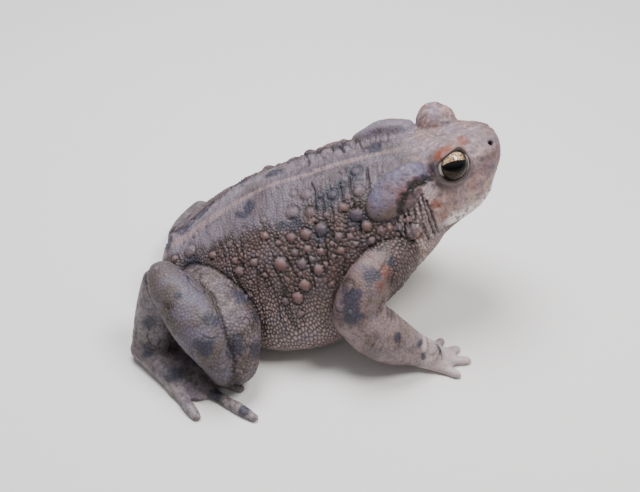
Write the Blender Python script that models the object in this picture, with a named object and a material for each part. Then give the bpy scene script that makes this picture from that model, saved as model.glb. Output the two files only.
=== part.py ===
"""A life-size still model of a California toad sitting alert, as a museum would show it.

The toad faces +X with its left side to +Y, and rests on its belly, palms, soles and toes at z = 0.
Every table is in millimetres of a toad 92 mm from snout to vent, and MM turns them into metres, so
one driving length resizes the whole animal. The trunk is one loft from rump to snout with its warts
fused to it, parted by thin cuts into torso, head and lower jaw. Each leg is a chain of lofts, and
each piece is carved by what it grows from or lies against, grown by the gap that touching pieces
keep.
"""

import math
import random

import bmesh
import bpy
from mathutils import Matrix, Vector

# Driving sizes, in metres
SNOUT_TO_VENT = 0.092
MM = SNOUT_TO_VENT / 92
GAP = 0.0003

# Coarseness of the lofts
TRUNK_SIDES = 32
TRUNK_STEP = 3.0
LIMB_SIDES = 14
LIMB_STEP = 3.0
DIGIT_SIDES = 7
DIGIT_STEP = 4.4

# The trunk from rump to snout: station x, midline top, midline bottom, half width, height of the
# widest line, and the power of the section above and below that line (2 is an ellipse)
TRUNK = [
    (-42.5, 18.0, 6.5, 7.0, 12.0, 2.0, 2.2),
    (-39.0, 19.8, 3.0, 11.0, 11.5, 1.9, 2.3),
    (-34.0, 22.7, 0.0, 15.5, 11.0, 1.8, 2.5),
    (-28.0, 27.5, -0.6, 20.0, 10.5, 1.75, 2.7),
    (-22.0, 31.8, -0.8, 24.5, 10.5, 1.7, 2.9),
    (-16.0, 35.2, -0.8, 27.3, 10.8, 1.65, 3.0),
    (-10.0, 37.8, -0.8, 28.6, 11.0, 1.65, 3.1),
    (-4.0, 39.6, -0.8, 28.6, 11.6, 1.75, 3.1),
    (2.0, 41.6, -0.7, 27.3, 13.0, 1.9, 3.0),
    (8.0, 43.2, 0.4, 24.8, 15.5, 2.05, 2.7),
    (14.0, 44.6, 3.0, 21.6, 19.5, 2.2, 2.4),
    (19.0, 45.7, 6.5, 18.8, 24.5, 2.3, 2.2),
    (24.0, 46.8, 11.0, 17.0, 30.0, 2.4, 2.1),
    (28.0, 47.8, 16.5, 15.8, 33.0, 2.5, 2.2),
    (32.0, 48.6, 22.5, 14.4, 34.5, 2.6, 2.3),
    (36.0, 49.4, 27.0, 12.6, 35.5, 2.6, 2.4),
    (40.0, 50.0, 29.8, 10.5, 36.5, 2.5, 2.4),
    (43.5, 49.6, 31.8, 8.4, 37.5, 2.3, 2.3),
    (45.5, 48.4, 33.0, 6.8, 38.5, 2.2, 2.2),
    (47.3, 46.5, 34.5, 5.2, 39.5, 2.1, 2.1),
]
RUMP_ROUNDING = 4.5
SNOUT_ROUNDING = 4.0
END_STATIONS = (0.08, 0.7, 1.9, 3.4)

# Where the head parts from the torso, and the closed mouth as x and z from behind the jaw corner
HEAD_REAR_X = 20.5
MOUTH_LINE = [(16.0, 30.6), (26.0, 32.6), (30.0, 33.6), (36.0, 34.4), (42.0, 35.6), (54.0, 38.0)]

# The head's features, given on the right side, where y is below zero
EYE_CENTRE = (31.0, -9.0, 47.3)
EYE_RADIUS = 4.8
LID_RADII = (6.4, 5.6, 5.4)
EYE_LOOKS = (0.17, -0.88, 0.42)
EYE_OPENING = 4.0
NOSTRIL = (42.6, -3.1, 48.6)
NOSTRIL_OUT = (0.35, -0.8, 0.45)
NOSTRIL_RADIUS = 0.65
LIP_STATIONS = (27, 30, 33, 36, 39, 42, 44, 45.4, 46.3, 46.9)
LIP_RADIUS = 0.9
LIP_ABOVE_MOUTH = 1.1
EARDRUM = (26.0, -15.6, 40.0)
EARDRUM_RADII = (1.9, 0.9, 1.9)

# The parotoid gland: its front and rear ends on the neck, its radii, and the way it stands out
PAROTOID_FRONT = (24.2, -8.2, 45.6)
PAROTOID_REAR = (11.3, -15.4, 38.2)
PAROTOID_RADII = (9.4, 4.9, 2.6)
PAROTOID_OUT = (0.0, -0.62, 0.78)

# The larger warts of the trunk, as station x, the angle over the widest line in degrees, and radius.
# They stand in loose rows from the flank up to the pale line, and the last is at the jaw's corner.
TRUNK_WARTS = [
    (-34.5, 66, 1.6),
    (-28.6, 55, 1.1),
    (-22.2, 42, 1.2),
    (-18.4, 46, 1.1),
    (-15.3, 58, 1.1),
    (-11.8, 43, 1.7),
    (-8.3, 26, 1.3),
    (-8.8, 54, 1.2),
    (-8.2, 66, 1.5),
    (-6.3, 31, 1.3),
    (-6.6, 41, 1.3),
    (-5.2, 54, 1.35),
    (-4.2, 74, 1.5),
    (-3.6, 64, 1.3),
    (-2.7, 36, 1.35),
    (-1.4, 54, 1.6),
    (2.1, 70, 1.3),
    (2.7, 47, 1.1),
    (4.4, 61, 1.2),
    (7.4, 54, 1.7),
    (8.4, 67, 1.4),
    (8.5, 81, 1.3),
    (9.6, 45, 1.3),
    (13.2, 37, 1.1),
    (23.4, 16, 1.9),
]

# The warts of each thigh and shank, as the share of its length, the angle from the side that faces
# the animal's left over the top, and radius
LIMB_WARTS = {
    "thigh": [(0.34, 70, 1.0), (0.52, 105, 1.2), (0.7, 80, 1.0)],
    "shank": [(0.3, 85, 0.9), (0.62, 110, 1.0)],
}

# A wart: how high it stands and how far its root is sunk, in radii, and the shoulder of its dome as a
# share of the height and of the radius. The left side's warts stray from the right side's by up to
# so many millimetres along the trunk, degrees round it, and share of the radius.
WART_HEIGHT = 0.62
WART_ROOT = 0.6
WART_SHOULDER = (0.62, 0.78)
WART_SIDES = 7
WART_STRAY = (0.9, 2.5, 0.16)
WART_SEED = 7

# Each limb piece: centre x, y, z, and the half width and half depth there. The arm and the first
# leg are on the right side. The left leg is tucked further forward and lower.
UPPER_ARM = [
    (16.5, -15.5, 25.5, 7.4, 7.6),
    (12.7, -20.9, 24.6, 6.8, 7.4),
    (8.3, -25.8, 22.6, 5.8, 6.6),
    (5.6, -28.3, 19.0, 5.3, 5.9),
]
FOREARM = [
    (6.0, -28.7, 16.9, 5.7, 6.2),
    (10.2, -29.5, 12.6, 6.3, 7.1),
    (15.8, -30.5, 8.2, 5.8, 6.1),
    (21.0, -31.0, 5.2, 4.3, 4.4),
    (24.5, -31.2, 3.6, 3.8, 3.3),
]
RIGHT_LEG = {
    "thigh": [
        (-31.5, -8.0, 12.5, 7.6, 7.6),
        (-29.5, -17.0, 14.5, 8.3, 8.0),
        (-26.0, -26.5, 13.8, 8.3, 8.0),
        (-25.0, -33.0, 8.5, 6.2, 5.8),
    ],
    "shank": [
        (-26.5, -34.0, 8.0, 5.2, 5.0),
        (-29.5, -31.5, 13.5, 6.4, 5.8),
        (-34.0, -26.5, 18.5, 6.9, 6.2),
        (-38.5, -20.5, 22.0, 5.6, 5.2),
        (-41.0, -16.5, 22.5, 4.6, 4.4),
    ],
    "tarsus": [
        (-42.0, -16.0, 21.5, 4.2, 4.2),
        (-43.6, -17.5, 16.0, 4.9, 4.2),
        (-45.0, -19.3, 9.5, 5.3, 3.9),
        (-46.2, -21.3, 4.0, 5.1, 3.5),
    ],
}
LEFT_LEG = {
    "thigh": [
        (-31.5, 8.0, 11.8, 7.6, 7.4),
        (-26.0, 16.2, 10.6, 8.4, 7.3),
        (-19.0, 24.0, 10.2, 8.0, 7.2),
        (-14.5, 30.0, 8.0, 6.0, 5.6),
    ],
    "shank": [
        (-15.5, 31.0, 7.6, 5.2, 5.0),
        (-20.5, 27.0, 8.0, 6.2, 5.6),
        (-27.0, 21.4, 8.4, 6.4, 5.7),
        (-33.0, 16.6, 9.0, 5.4, 5.0),
        (-36.3, 14.2, 9.2, 4.6, 4.4),
    ],
    "tarsus": [
        (-37.5, 14.8, 8.6, 4.1, 4.1),
        (-37.4, 20.4, 6.2, 3.6, 3.5),
        (-35.3, 26.2, 4.6, 3.3, 3.2),
        (-32.3, 31.3, 3.8, 3.5, 3.3),
    ],
}

# Hands and feet: where the wrist or the heel meets the ground, as x, the distance from the midline
# and the bearing outwards from +X in degrees
HAND = (23.0, 31.3, 2)
RIGHT_FOOT = (-48.0, 21.5, 40)
LEFT_FOOT = (-32.5, 31.5, 17)

# The pad of each, as a distance ahead of that point, z, half width and half depth, then the digits
# as a turn towards the midline in degrees, the reach of the tip from that point, and the radius
HAND_PAD = [(-0.5, 2.8, 3.2, 2.6), (3.0, 2.0, 4.4, 1.9), (6.0, 1.6, 3.4, 1.4)]
FINGERS = [(46, 10.5, 1.4), (19, 12.0, 1.4), (-3, 13.5, 1.4), (-31, 11.5, 1.35)]
FOOT_PAD = [(-0.5, 2.8, 3.2, 2.8), (5.5, 2.3, 4.4, 2.3), (12.0, 1.8, 5.6, 1.8), (18.0, 1.3, 5.2, 1.2)]
TOES = [(38, 17.5, 1.3), (23, 22.5, 1.35), (10, 29.0, 1.4), (-1, 37.0, 1.4), (-19, 26.5, 1.4)]

# Along a digit from its root: its thickness in radii with the swollen joints, how flat it is, how
# far its sole would lie under the ground, in radii, and the share of its reach where it starts
DIGIT_SWELL = (1.35, 1.1, 1.2, 0.95, 1.05, 0.8)
DIGIT_FLATNESS = 0.9
DIGIT_SUNK = 0.2
DIGIT_START = 0.25

# Each limb piece, with those that it is carved by
LIMB_ORDER = {
    "upper_arm": [],
    "forearm": ["upper_arm"],
    "hand": ["forearm"],
    "thigh": [],
    "shank": ["thigh"],
    "tarsus": ["shank", "thigh"],
    "foot": ["tarsus", "shank", "thigh"],
}

# Colour and roughness of each finish
FINISHES = {
    "back_skin": ((0.20, 0.16, 0.17), 0.6),
    "head_skin": ((0.24, 0.18, 0.18), 0.55),
    "throat_skin": ((0.34, 0.29, 0.27), 0.6),
    "arm_skin": ((0.21, 0.17, 0.17), 0.6),
    "leg_skin": ((0.15, 0.13, 0.15), 0.6),
    "gland_skin": ((0.19, 0.15, 0.20), 0.5),
    "eye": ((0.05, 0.035, 0.02), 0.1),
}


def clear_scene():
    """Removes every object of the scene that the script is opened in."""
    for item in list(bpy.data.objects):
        bpy.data.objects.remove(item, do_unlink=True)


def add_collection(name, hidden):
    made = bpy.data.collections.new(name)
    bpy.context.scene.collection.children.link(made)
    made.hide_render = hidden
    return made


def material(name):
    """The Principled material of one finish."""
    found = bpy.data.materials.get(name)
    if found:
        return found
    colour, roughness = FINISHES[name]
    made = bpy.data.materials.new(name)
    made.use_nodes = True
    shader = made.node_tree.nodes["Principled BSDF"]
    shader.inputs["Base Color"].default_value = (*colour, 1.0)
    shader.inputs["Roughness"].default_value = roughness
    return made


def on_side(point, side):
    """A point or row given on the right side, as it is there (1) or on the left side (-1)."""
    return (point[0], point[1] * side, *point[2:])


def between(rows, at):
    """The row at one station, from a smooth curve through rows that start with their station."""
    at = min(max(at, rows[0][0]), rows[-1][0])
    i = max(k for k in range(len(rows) - 1) if rows[k][0] <= at)
    a, b = rows[i], rows[i + 1]
    before, after = rows[max(i - 1, 0)], rows[min(i + 2, len(rows) - 1)]
    span = b[0] - a[0]
    t = (at - a[0]) / span
    found = []
    for k in range(1, len(a)):
        leaving = (b[k] - before[k]) / (b[0] - before[0]) * span
        arriving = (after[k] - a[k]) / (after[0] - a[0]) * span
        found.append(
            (2 * t**3 - 3 * t**2 + 1) * a[k]
            + (t**3 - 2 * t**2 + t) * leaving
            + (3 * t**2 - 2 * t**3) * b[k]
            + (t**3 - t**2) * arriving
        )
    return found


def power_curve(angle, power):
    """The point of a superellipse of unit radii at this angle."""
    c, s = math.cos(angle), math.sin(angle)
    return math.copysign(abs(c) ** (2 / power), c), math.copysign(abs(s) ** (2 / power), s)


def add_mesh(bm, name, group):
    """Turns a bmesh into an object of the group, in triangles that point out."""
    bmesh.ops.triangulate(bm, faces=bm.faces)
    bmesh.ops.recalc_face_normals(bm, faces=bm.faces)
    mesh = bpy.data.meshes.new(name)
    bm.to_mesh(mesh)
    bm.free()
    made = bpy.data.objects.new(name, mesh)
    group.objects.link(made)
    return made


def loft(name, rings, group):
    """One closed body through rings of points, each end closed by a fan to its middle."""
    bm = bmesh.new()
    rows = [[bm.verts.new(p) for p in ring] for ring in rings]
    sides = len(rows[0])
    for low, high in zip(rows, rows[1:]):
        for i in range(sides):
            j = (i + 1) % sides
            bm.faces.new((low[i], low[j], high[j], high[i]))
    for row in (rows[0], rows[-1]):
        middle = bm.verts.new(sum((v.co for v in row), Vector()) / sides)
        for i in range(sides):
            bm.faces.new((row[i], row[(i + 1) % sides], middle))
    return add_mesh(bm, name, group)


def rounding(distance, cap):
    """How full a section is this far from the end of a body whose round end is that long."""
    share = min(max(distance / cap, 0.0), 1.0)
    return math.sqrt(1 - (1 - share) ** 2)


def trunk_section(x):
    """The trunk's sizes at a station, closing in at the rump and the snout."""
    top, bottom, wide, level, above, below = between(TRUNK, x)
    full = rounding(x - TRUNK[0][0], RUMP_ROUNDING) * rounding(TRUNK[-1][0] - x, SNOUT_ROUNDING)
    rise, drop = (top - level) * full, (level - bottom) * full
    return rise, drop, wide * full, level, above, below


def trunk_point(x, angle):
    """A point of the trunk's skin, at an angle from the left side (0) over the back (90)."""
    rise, drop, wide, level, above, below = trunk_section(x)
    over = math.sin(angle) > 0
    c, s = power_curve(angle, above if over else below)
    return Vector((x, wide * c, level + s * (rise if over else drop))) * MM


def trunk_half_width(x, z):
    """The half width of the trunk at a station and a height, in millimetres."""
    rise, drop, wide, level, above, below = trunk_section(x)
    reach, power = (rise, above) if z > level else (drop, below)
    share = min(abs(z - level) / reach, 1.0)
    return wide * (1 - share**power) ** (1 / power)


def wart(place, out, radius, group):
    """A low dome in metres, with its root well under the skin that it stands on."""
    radius *= MM
    height = radius * WART_HEIGHT
    turn = out.to_track_quat("Z", "Y").to_matrix()
    steps = [(-radius * WART_ROOT, radius), (height * WART_SHOULDER[0], radius * WART_SHOULDER[1])]
    turns = [2 * math.pi * i / WART_SIDES for i in range(WART_SIDES)]
    bm = bmesh.new()
    rows = []
    for rise, wide in steps:
        ring = [Vector((wide * math.cos(a), wide * math.sin(a), rise)) for a in turns]
        rows.append([bm.verts.new(place + turn @ p) for p in ring])
    bm.faces.new(rows[0])
    top = bm.verts.new(place + out * height)
    for i in range(WART_SIDES):
        j = (i + 1) % WART_SIDES
        bm.faces.new((rows[0][i], rows[0][j], rows[1][j], rows[1][i]))
        bm.faces.new((rows[1][i], rows[1][j], top))
    return add_mesh(bm, "wart", group)


def trunk_wart(x, degrees, radius, group):
    """A wart of the trunk, at a station and an angle from the left side over the back."""
    angle = math.radians(degrees)
    along = trunk_point(x + 0.5, angle) - trunk_point(x - 0.5, angle)
    around = trunk_point(x, angle + 0.02) - trunk_point(x, angle - 0.02)
    return wart(trunk_point(x, angle), around.cross(along).normalized(), radius, group)


def trunk_warts(group):
    """The trunk's warts: in their places on the right, and strayed from them on the left."""
    draw = random.Random(WART_SEED)
    made = []
    for x, degrees, radius in TRUNK_WARTS:
        made.append(trunk_wart(x, 180 - degrees, radius, group))
        far, round_, more = [draw.uniform(-stray, stray) for stray in WART_STRAY]
        made.append(trunk_wart(x + far, degrees + round_, radius * (1 + more), group))
    return made


def make_trunk(group):
    """The trunk, with its stations closer together towards its two round ends."""
    first, last = TRUNK[0][0], TRUNK[-1][0]
    margin = max(RUMP_ROUNDING, SNOUT_ROUNDING) + 1
    length = last - first - 2 * margin
    count = round(length / TRUNK_STEP)
    stations = [first + e for e in END_STATIONS]
    stations += [first + margin + length * i / count for i in range(count + 1)]
    stations += [last - e for e in reversed(END_STATIONS)]
    turns = [2 * math.pi * i / TRUNK_SIDES for i in range(TRUNK_SIDES)]
    made = loft("trunk", [[trunk_point(x, turn) for turn in turns] for x in stations], group)
    return combine(made, trunk_warts(group), "UNION")


def limb_track(rows):
    """The rows of a limb piece, each with the distance travelled to it along the piece."""
    travelled = [0.0]
    for a, b in zip(rows, rows[1:]):
        travelled.append(travelled[-1] + (Vector(b[:3]) - Vector(a[:3])).length)
    return [(s, *row) for s, row in zip(travelled, rows)]


def limb_frame(track, s):
    """The centre of a limb piece there, the way it runs, and its level and upright half axes."""
    x, y, z, wide, deep = between(track, s)
    length = track[-1][0]
    ahead = Vector(between(track, min(s + 0.3, length))[:3])
    behind = Vector(between(track, max(s - 0.3, 0.0))[:3])
    along = (ahead - behind).normalized()
    level = along.cross(Vector((0, 0, 1))).normalized()
    return Vector((x, y, z)), along, level * wide, level.cross(along) * deep


def limb(name, rows, group, sides=LIMB_SIDES, step=LIMB_STEP):
    """A loft along the smooth path through rows of centre, half width (level) and half depth.

    Each end is rounded over its own half width.
    """
    track = limb_track(rows)
    length = track[-1][0]
    count = max(round(length / step), 2)
    shares = (0.93, 0.6)
    stations = [-rows[0][3] * share for share in shares]
    stations += [length * i / count for i in range(count + 1)]
    stations += [length + rows[-1][3] * share for share in reversed(shares)]
    rings = []
    for s in stations:
        inside = min(max(s, 0.0), length)
        beyond = s - inside
        centre, along, level, up = limb_frame(track, inside)
        full = math.sqrt(1 - (beyond / level.length) ** 2)
        centre += along * beyond
        turns = [2 * math.pi * i / sides for i in range(sides)]
        ring = [centre + (level * math.cos(a) + up * math.sin(a)) * full for a in turns]
        rings.append([p * MM for p in ring])
    return loft(name, rings, group)


def limb_warts(rows, places, group):
    """The warts of a limb piece, each a share along it and an angle over it."""
    track = limb_track(rows)
    made = []
    for share, degrees, radius in places:
        centre, along, level, up = limb_frame(track, track[-1][0] * share)
        a = math.radians(degrees)
        place = centre + level * math.cos(a) + up * math.sin(a)
        around = up * math.cos(a) - level * math.sin(a)
        out = around.cross(along).normalized()
        if out.dot(place - centre) < 0:
            out.negate()
        made.append(wart(place * MM, out, radius, group))
    return made


def ball(name, centre, radii, group, rows, turns, turn=None):
    """An ellipsoid in millimetres, with its axes turned by a matrix if one is given."""
    bm = bmesh.new()
    bmesh.ops.create_uvsphere(bm, u_segments=turns, v_segments=rows, radius=1.0)
    bmesh.ops.scale(bm, vec=Vector(radii) * MM, verts=bm.verts)
    if turn is not None:
        bmesh.ops.transform(bm, matrix=turn.to_4x4(), verts=bm.verts)
    bmesh.ops.translate(bm, vec=Vector(centre) * MM, verts=bm.verts)
    return add_mesh(bm, name, group)


def rod(name, start, end, radii, group, sides):
    """A straight tapered rod between two points, in millimetres."""
    a, b = Vector(start), Vector(end)
    bm = bmesh.new()
    bmesh.ops.create_cone(
        bm,
        cap_ends=True,
        segments=sides,
        radius1=radii[0] * MM,
        radius2=radii[1] * MM,
        depth=(b - a).length * MM,
    )
    turn = (b - a).to_track_quat("Z", "Y").to_matrix().to_4x4()
    bmesh.ops.transform(bm, matrix=turn, verts=bm.verts)
    bmesh.ops.translate(bm, vec=(a + b) / 2 * MM, verts=bm.verts)
    return add_mesh(bm, name, group)


def slab(name, outline, group, half_width=60):
    """A side view outline of x and z in millimetres, pushed across the whole animal."""
    bm = bmesh.new()
    face = bm.faces.new([bm.verts.new(Vector((x, -half_width, z)) * MM) for x, z in outline])
    pushed = bmesh.ops.extrude_face_region(bm, geom=[face])
    moved = [v for v in pushed["geom"] if isinstance(v, bmesh.types.BMVert)]
    bmesh.ops.translate(bm, vec=(0, 2 * half_width * MM, 0), verts=moved)
    return add_mesh(bm, name, group)


def bake(item):
    """Replaces an object's mesh by what its modifiers make of it."""
    graph = bpy.context.evaluated_depsgraph_get()
    made = bpy.data.meshes.new_from_object(item.evaluated_get(graph))
    item.modifiers.clear()
    item.data = made


def keep_largest(item):
    """Keeps an object's largest closed surface and drops the scraps that a cut leaves."""
    bm = bmesh.new()
    bm.from_mesh(item.data)
    bmesh.ops.triangulate(bm, faces=bm.faces)
    islands, seen = [], set()
    for face in bm.faces:
        if face in seen:
            continue
        seen.add(face)
        island, waiting = [], [face]
        while waiting:
            here = waiting.pop()
            island.append(here)
            for edge in here.edges:
                fresh = [other for other in edge.link_faces if other not in seen]
                seen.update(fresh)
                waiting.extend(fresh)
        islands.append(island)
    islands.sort(key=lambda island: sum(face.calc_area() for face in island))
    scraps = [face for island in islands[:-1] for face in island]
    bmesh.ops.delete(bm, geom=scraps, context="FACES")
    bm.to_mesh(item.data)
    bm.free()


def combine(item, others, operation):
    """Joins, cuts or trims an object with others in one Boolean, and removes the others.

    The manifold solver keeps it closed where lofts cross at a grazing angle.
    """
    operands = bpy.data.collections.new("operands")
    bpy.context.scene.collection.children.link(operands)
    for other in others:
        for holder in list(other.users_collection):
            holder.objects.unlink(other)
        operands.objects.link(other)
    step = item.modifiers.new("combine", "BOOLEAN")
    step.operation = operation
    step.operand_type = "COLLECTION"
    step.collection = operands
    step.solver = "MANIFOLD"
    bake(item)
    for other in others:
        bpy.data.objects.remove(other, do_unlink=True)
    bpy.data.collections.remove(operands)
    keep_largest(item)
    return item


def copy_of(item, name, group):
    made = bpy.data.objects.new(name, item.data.copy())
    group.objects.link(made)
    return made


def grown(item, group):
    """A copy of an object whose surface stands the gap outside it."""
    made = copy_of(item, item.name + "_grown", group)
    step = made.modifiers.new("grow", "DISPLACE")
    step.direction = "NORMAL"
    step.mid_level = 0.0
    step.strength = GAP
    bake(made)
    return made


def carve(item, neighbours, helpers):
    """Cuts an object back by the gap from each piece that it grows from or lies against."""
    for neighbour in neighbours:
        combine(item, [grown(neighbour, helpers)], "DIFFERENCE")
    return item


def rest_on_ground(item, helpers):
    """Cuts an object off level at the ground, which gives it its small flats."""
    outline = [(-90, -30), (90, -30), (90, 0), (-90, 0)]
    return combine(item, [slab("ground", outline, helpers)], "DIFFERENCE")


def lip_roll(helpers):
    """The rounded rim of the upper lip, from one jaw corner round the snout to the other."""
    right = []
    for x in LIP_STATIONS:
        z = between(MOUTH_LINE, x)[0] + LIP_ABOVE_MOUTH
        right.append(Vector((x, 0.35 * LIP_RADIUS - trunk_half_width(x, z), z)))
    places = right + [Vector((p.x, -p.y, p.z)) for p in reversed(right)]
    path = bpy.data.curves.new("lip", "CURVE")
    path.dimensions = "3D"
    path.bevel_depth = LIP_RADIUS * MM
    path.bevel_resolution = 2
    path.use_fill_caps = True
    line = path.splines.new("POLY")
    line.points.add(len(places) - 1)
    for point, place in zip(line.points, places):
        point.co = (*(place * MM), 1.0)
    for end in (line.points[0], line.points[-1]):
        end.radius = 0.4
    drawn = bpy.data.objects.new("lip_path", path)
    helpers.objects.link(drawn)
    graph = bpy.context.evaluated_depsgraph_get()
    mesh = bpy.data.meshes.new_from_object(drawn.evaluated_get(graph))
    bpy.data.objects.remove(drawn, do_unlink=True)
    bm = bmesh.new()
    bm.from_mesh(mesh)
    bmesh.ops.remove_doubles(bm, verts=bm.verts, dist=0.00001)
    return add_mesh(bm, "lip", helpers)


def part_trunk(trunk, helpers):
    """Parts the trunk into torso, head and lower jaw by thin cuts."""
    half = GAP / MM / 2
    rear = HEAD_REAR_X + half
    line = [(x, z) for x, z in MOUTH_LINE if x > rear]
    line.insert(0, (rear, between(MOUTH_LINE, rear)[0]))
    outlines = {
        "torso": [(-90, -30), (HEAD_REAR_X - half, -30), (HEAD_REAR_X - half, 90), (-90, 90)],
        "head": [(x, z + half) for x, z in line] + [(90, 90), (rear, 90)],
        "lower_jaw": [(x, z - half) for x, z in line] + [(90, -30), (rear, -30)],
    }
    nodes = {}
    for name, outline in outlines.items():
        nodes[name] = copy_of(trunk, name, helpers)
        combine(nodes[name], [slab("span", outline, helpers)], "INTERSECT")
    return nodes


def lid_ball(side, helpers):
    """The bulge of skin that holds an eye."""
    return ball("lid", on_side(EYE_CENTRE, side), LID_RADII, helpers, 12, 18)


def dress_head(head, helpers):
    """Gives the head its lids, lips, eardrums, nostrils and the sockets for its eyes."""
    raised = [lip_roll(helpers)]
    for side in (1, -1):
        raised.append(lid_ball(side, helpers))
        raised.append(ball("eardrum", on_side(EARDRUM, side), EARDRUM_RADII, helpers, 8, 12))
    combine(head, raised, "UNION")
    for side in (1, -1):
        eye = Vector(on_side(EYE_CENTRE, side))
        look = Vector(on_side(EYE_LOOKS, side)).normalized()
        start, end = eye + look * EYE_RADIUS * 0.4, eye + look * EYE_RADIUS * 1.8
        widths = (EYE_OPENING * 0.95, EYE_OPENING * 1.35)
        socket = ball("socket", eye, (EYE_RADIUS + GAP / MM,) * 3, helpers, 10, 14)
        combine(head, [socket, rod("opening", start, end, widths, helpers, 14)], "DIFFERENCE")
        nostril = Vector(on_side(NOSTRIL, side))
        out = Vector(on_side(NOSTRIL_OUT, side))
        widths = (NOSTRIL_RADIUS,) * 2
        combine(head, [rod("nostril", nostril - out, nostril + out * 2, widths, helpers, 8)], "DIFFERENCE")


def make_gland(side, parts):
    """A parotoid gland: a long low cushion behind the eye, lying on the neck."""
    front, rear = Vector(on_side(PAROTOID_FRONT, side)), Vector(on_side(PAROTOID_REAR, side))
    along = (front - rear).normalized()
    out = Vector(on_side(PAROTOID_OUT, side))
    out = (out - along * out.dot(along)).normalized()
    turn = Matrix((along, out.cross(along), out)).transposed()
    return ball("gland", (front + rear) / 2, PAROTOID_RADII, parts, 10, 18, turn)


def make_paw(name, place, pad, digits, side, helpers):
    """A hand or a foot: a low pad with its tapering digits fused to it."""
    x, y, bearing = place[0], place[1] * -side, math.radians(place[2])

    def row(turn, ahead, height, wide, deep):
        angle = bearing - math.radians(turn)
        across = -side * ahead * math.sin(angle)
        return x + ahead * math.cos(angle), y + across, height, wide, deep

    made = limb(name, [row(0, *sizes) for sizes in pad], helpers)
    fused = []
    for turn, reach, radius in digits:
        rows = []
        for i, swell in enumerate(DIGIT_SWELL):
            ahead = reach * (DIGIT_START + (1 - DIGIT_START) * i / (len(DIGIT_SWELL) - 1))
            ahead = min(ahead, reach - radius * DIGIT_SWELL[-1])
            wide, deep = radius * swell, radius * swell * DIGIT_FLATNESS
            rows.append(row(turn, ahead, deep - radius * DIGIT_SUNK, wide, deep))
        fused.append(limb("digit", rows, helpers, DIGIT_SIDES, DIGIT_STEP))
    return combine(made, fused, "UNION")


def finish(item, name, finish_name, parts):
    """Names a node, gives it its material, and shades it smooth."""
    for holder in list(item.users_collection):
        holder.objects.unlink(item)
    parts.objects.link(item)
    item.name = name
    item.data.name = name
    item.data.materials.clear()
    item.data.materials.append(material(finish_name))
    item.data.shade_smooth()


def add_limbs(side, word, trunk, parts, helpers):
    """The arm and the leg of one side, from the root to the tips of the digits."""
    leg = RIGHT_LEG if side == 1 else LEFT_LEG
    shapes = {name: limb(name, rows, helpers) for name, rows in leg.items()}
    for name, places in LIMB_WARTS.items():
        combine(shapes[name], limb_warts(leg[name], places, helpers), "UNION")
    for name, rows in (("upper_arm", UPPER_ARM), ("forearm", FOREARM)):
        shapes[name] = limb(name, [on_side(row, side) for row in rows], helpers)
    foot = RIGHT_FOOT if side == 1 else LEFT_FOOT
    shapes["hand"] = make_paw("hand", HAND, HAND_PAD, FINGERS, side, helpers)
    shapes["foot"] = make_paw("foot", foot, FOOT_PAD, TOES, side, helpers)
    for name, growing_from in LIMB_ORDER.items():
        node = copy_of(shapes[name], name + "_node", helpers)
        carve(node, [trunk] + [shapes[other] for other in growing_from], helpers)
        rest_on_ground(node, helpers)
        skin = "arm_skin" if name in ("upper_arm", "forearm", "hand") else "leg_skin"
        finish(node, f"{name}_{word}", skin, parts)
    for shape in shapes.values():
        bpy.data.objects.remove(shape, do_unlink=True)


def centre_on_origin(parts):
    """Moves the toad so that the middle of its box's underside is the origin."""
    bpy.context.view_layer.update()
    corners = [v.co for item in parts.objects for v in item.data.vertices]
    low = Vector([min(c[k] for c in corners) for k in range(3)])
    high = Vector([max(c[k] for c in corners) for k in range(3)])
    shift = Vector((-(low.x + high.x) / 2, -(low.y + high.y) / 2, -low.z))
    for item in parts.objects:
        item.data.transform(Matrix.Translation(shift))


def main():
    clear_scene()
    parts = add_collection("california_toad", hidden=False)
    helpers = add_collection("helpers", hidden=True)
    trunk = make_trunk(helpers)
    nodes = part_trunk(trunk, helpers)
    dress_head(nodes["head"], helpers)
    rest_on_ground(nodes["torso"], helpers)
    for side, word in ((1, "right"), (-1, "left")):
        add_limbs(side, word, trunk, parts, helpers)
        lid = lid_ball(side, helpers)
        gland = carve(make_gland(side, parts), [trunk, lid], helpers)
        bpy.data.objects.remove(lid, do_unlink=True)
        finish(gland, f"parotoid_{word}", "gland_skin", parts)
        eye = ball("eye", on_side(EYE_CENTRE, side), (EYE_RADIUS,) * 3, parts, 10, 16)
        finish(eye, f"eye_{word}", "eye", parts)
    finish(nodes["torso"], "torso", "back_skin", parts)
    finish(nodes["head"], "head", "head_skin", parts)
    finish(nodes["lower_jaw"], "lower_jaw", "throat_skin", parts)
    bpy.data.objects.remove(trunk, do_unlink=True)
    centre_on_origin(parts)


main()
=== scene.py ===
"""The looks of a life-size museum model of a California toad that sits alert.

One skin is drawn over the toad's solids from the same sizes, in millimetres of the toad's own frame:
+X forward, +Y to its left, +Z up. HOME carries that frame to where the solids stand.
"""

import math
import random

import bpy
import numpy as np
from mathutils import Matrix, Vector, kdtree, noise


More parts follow.
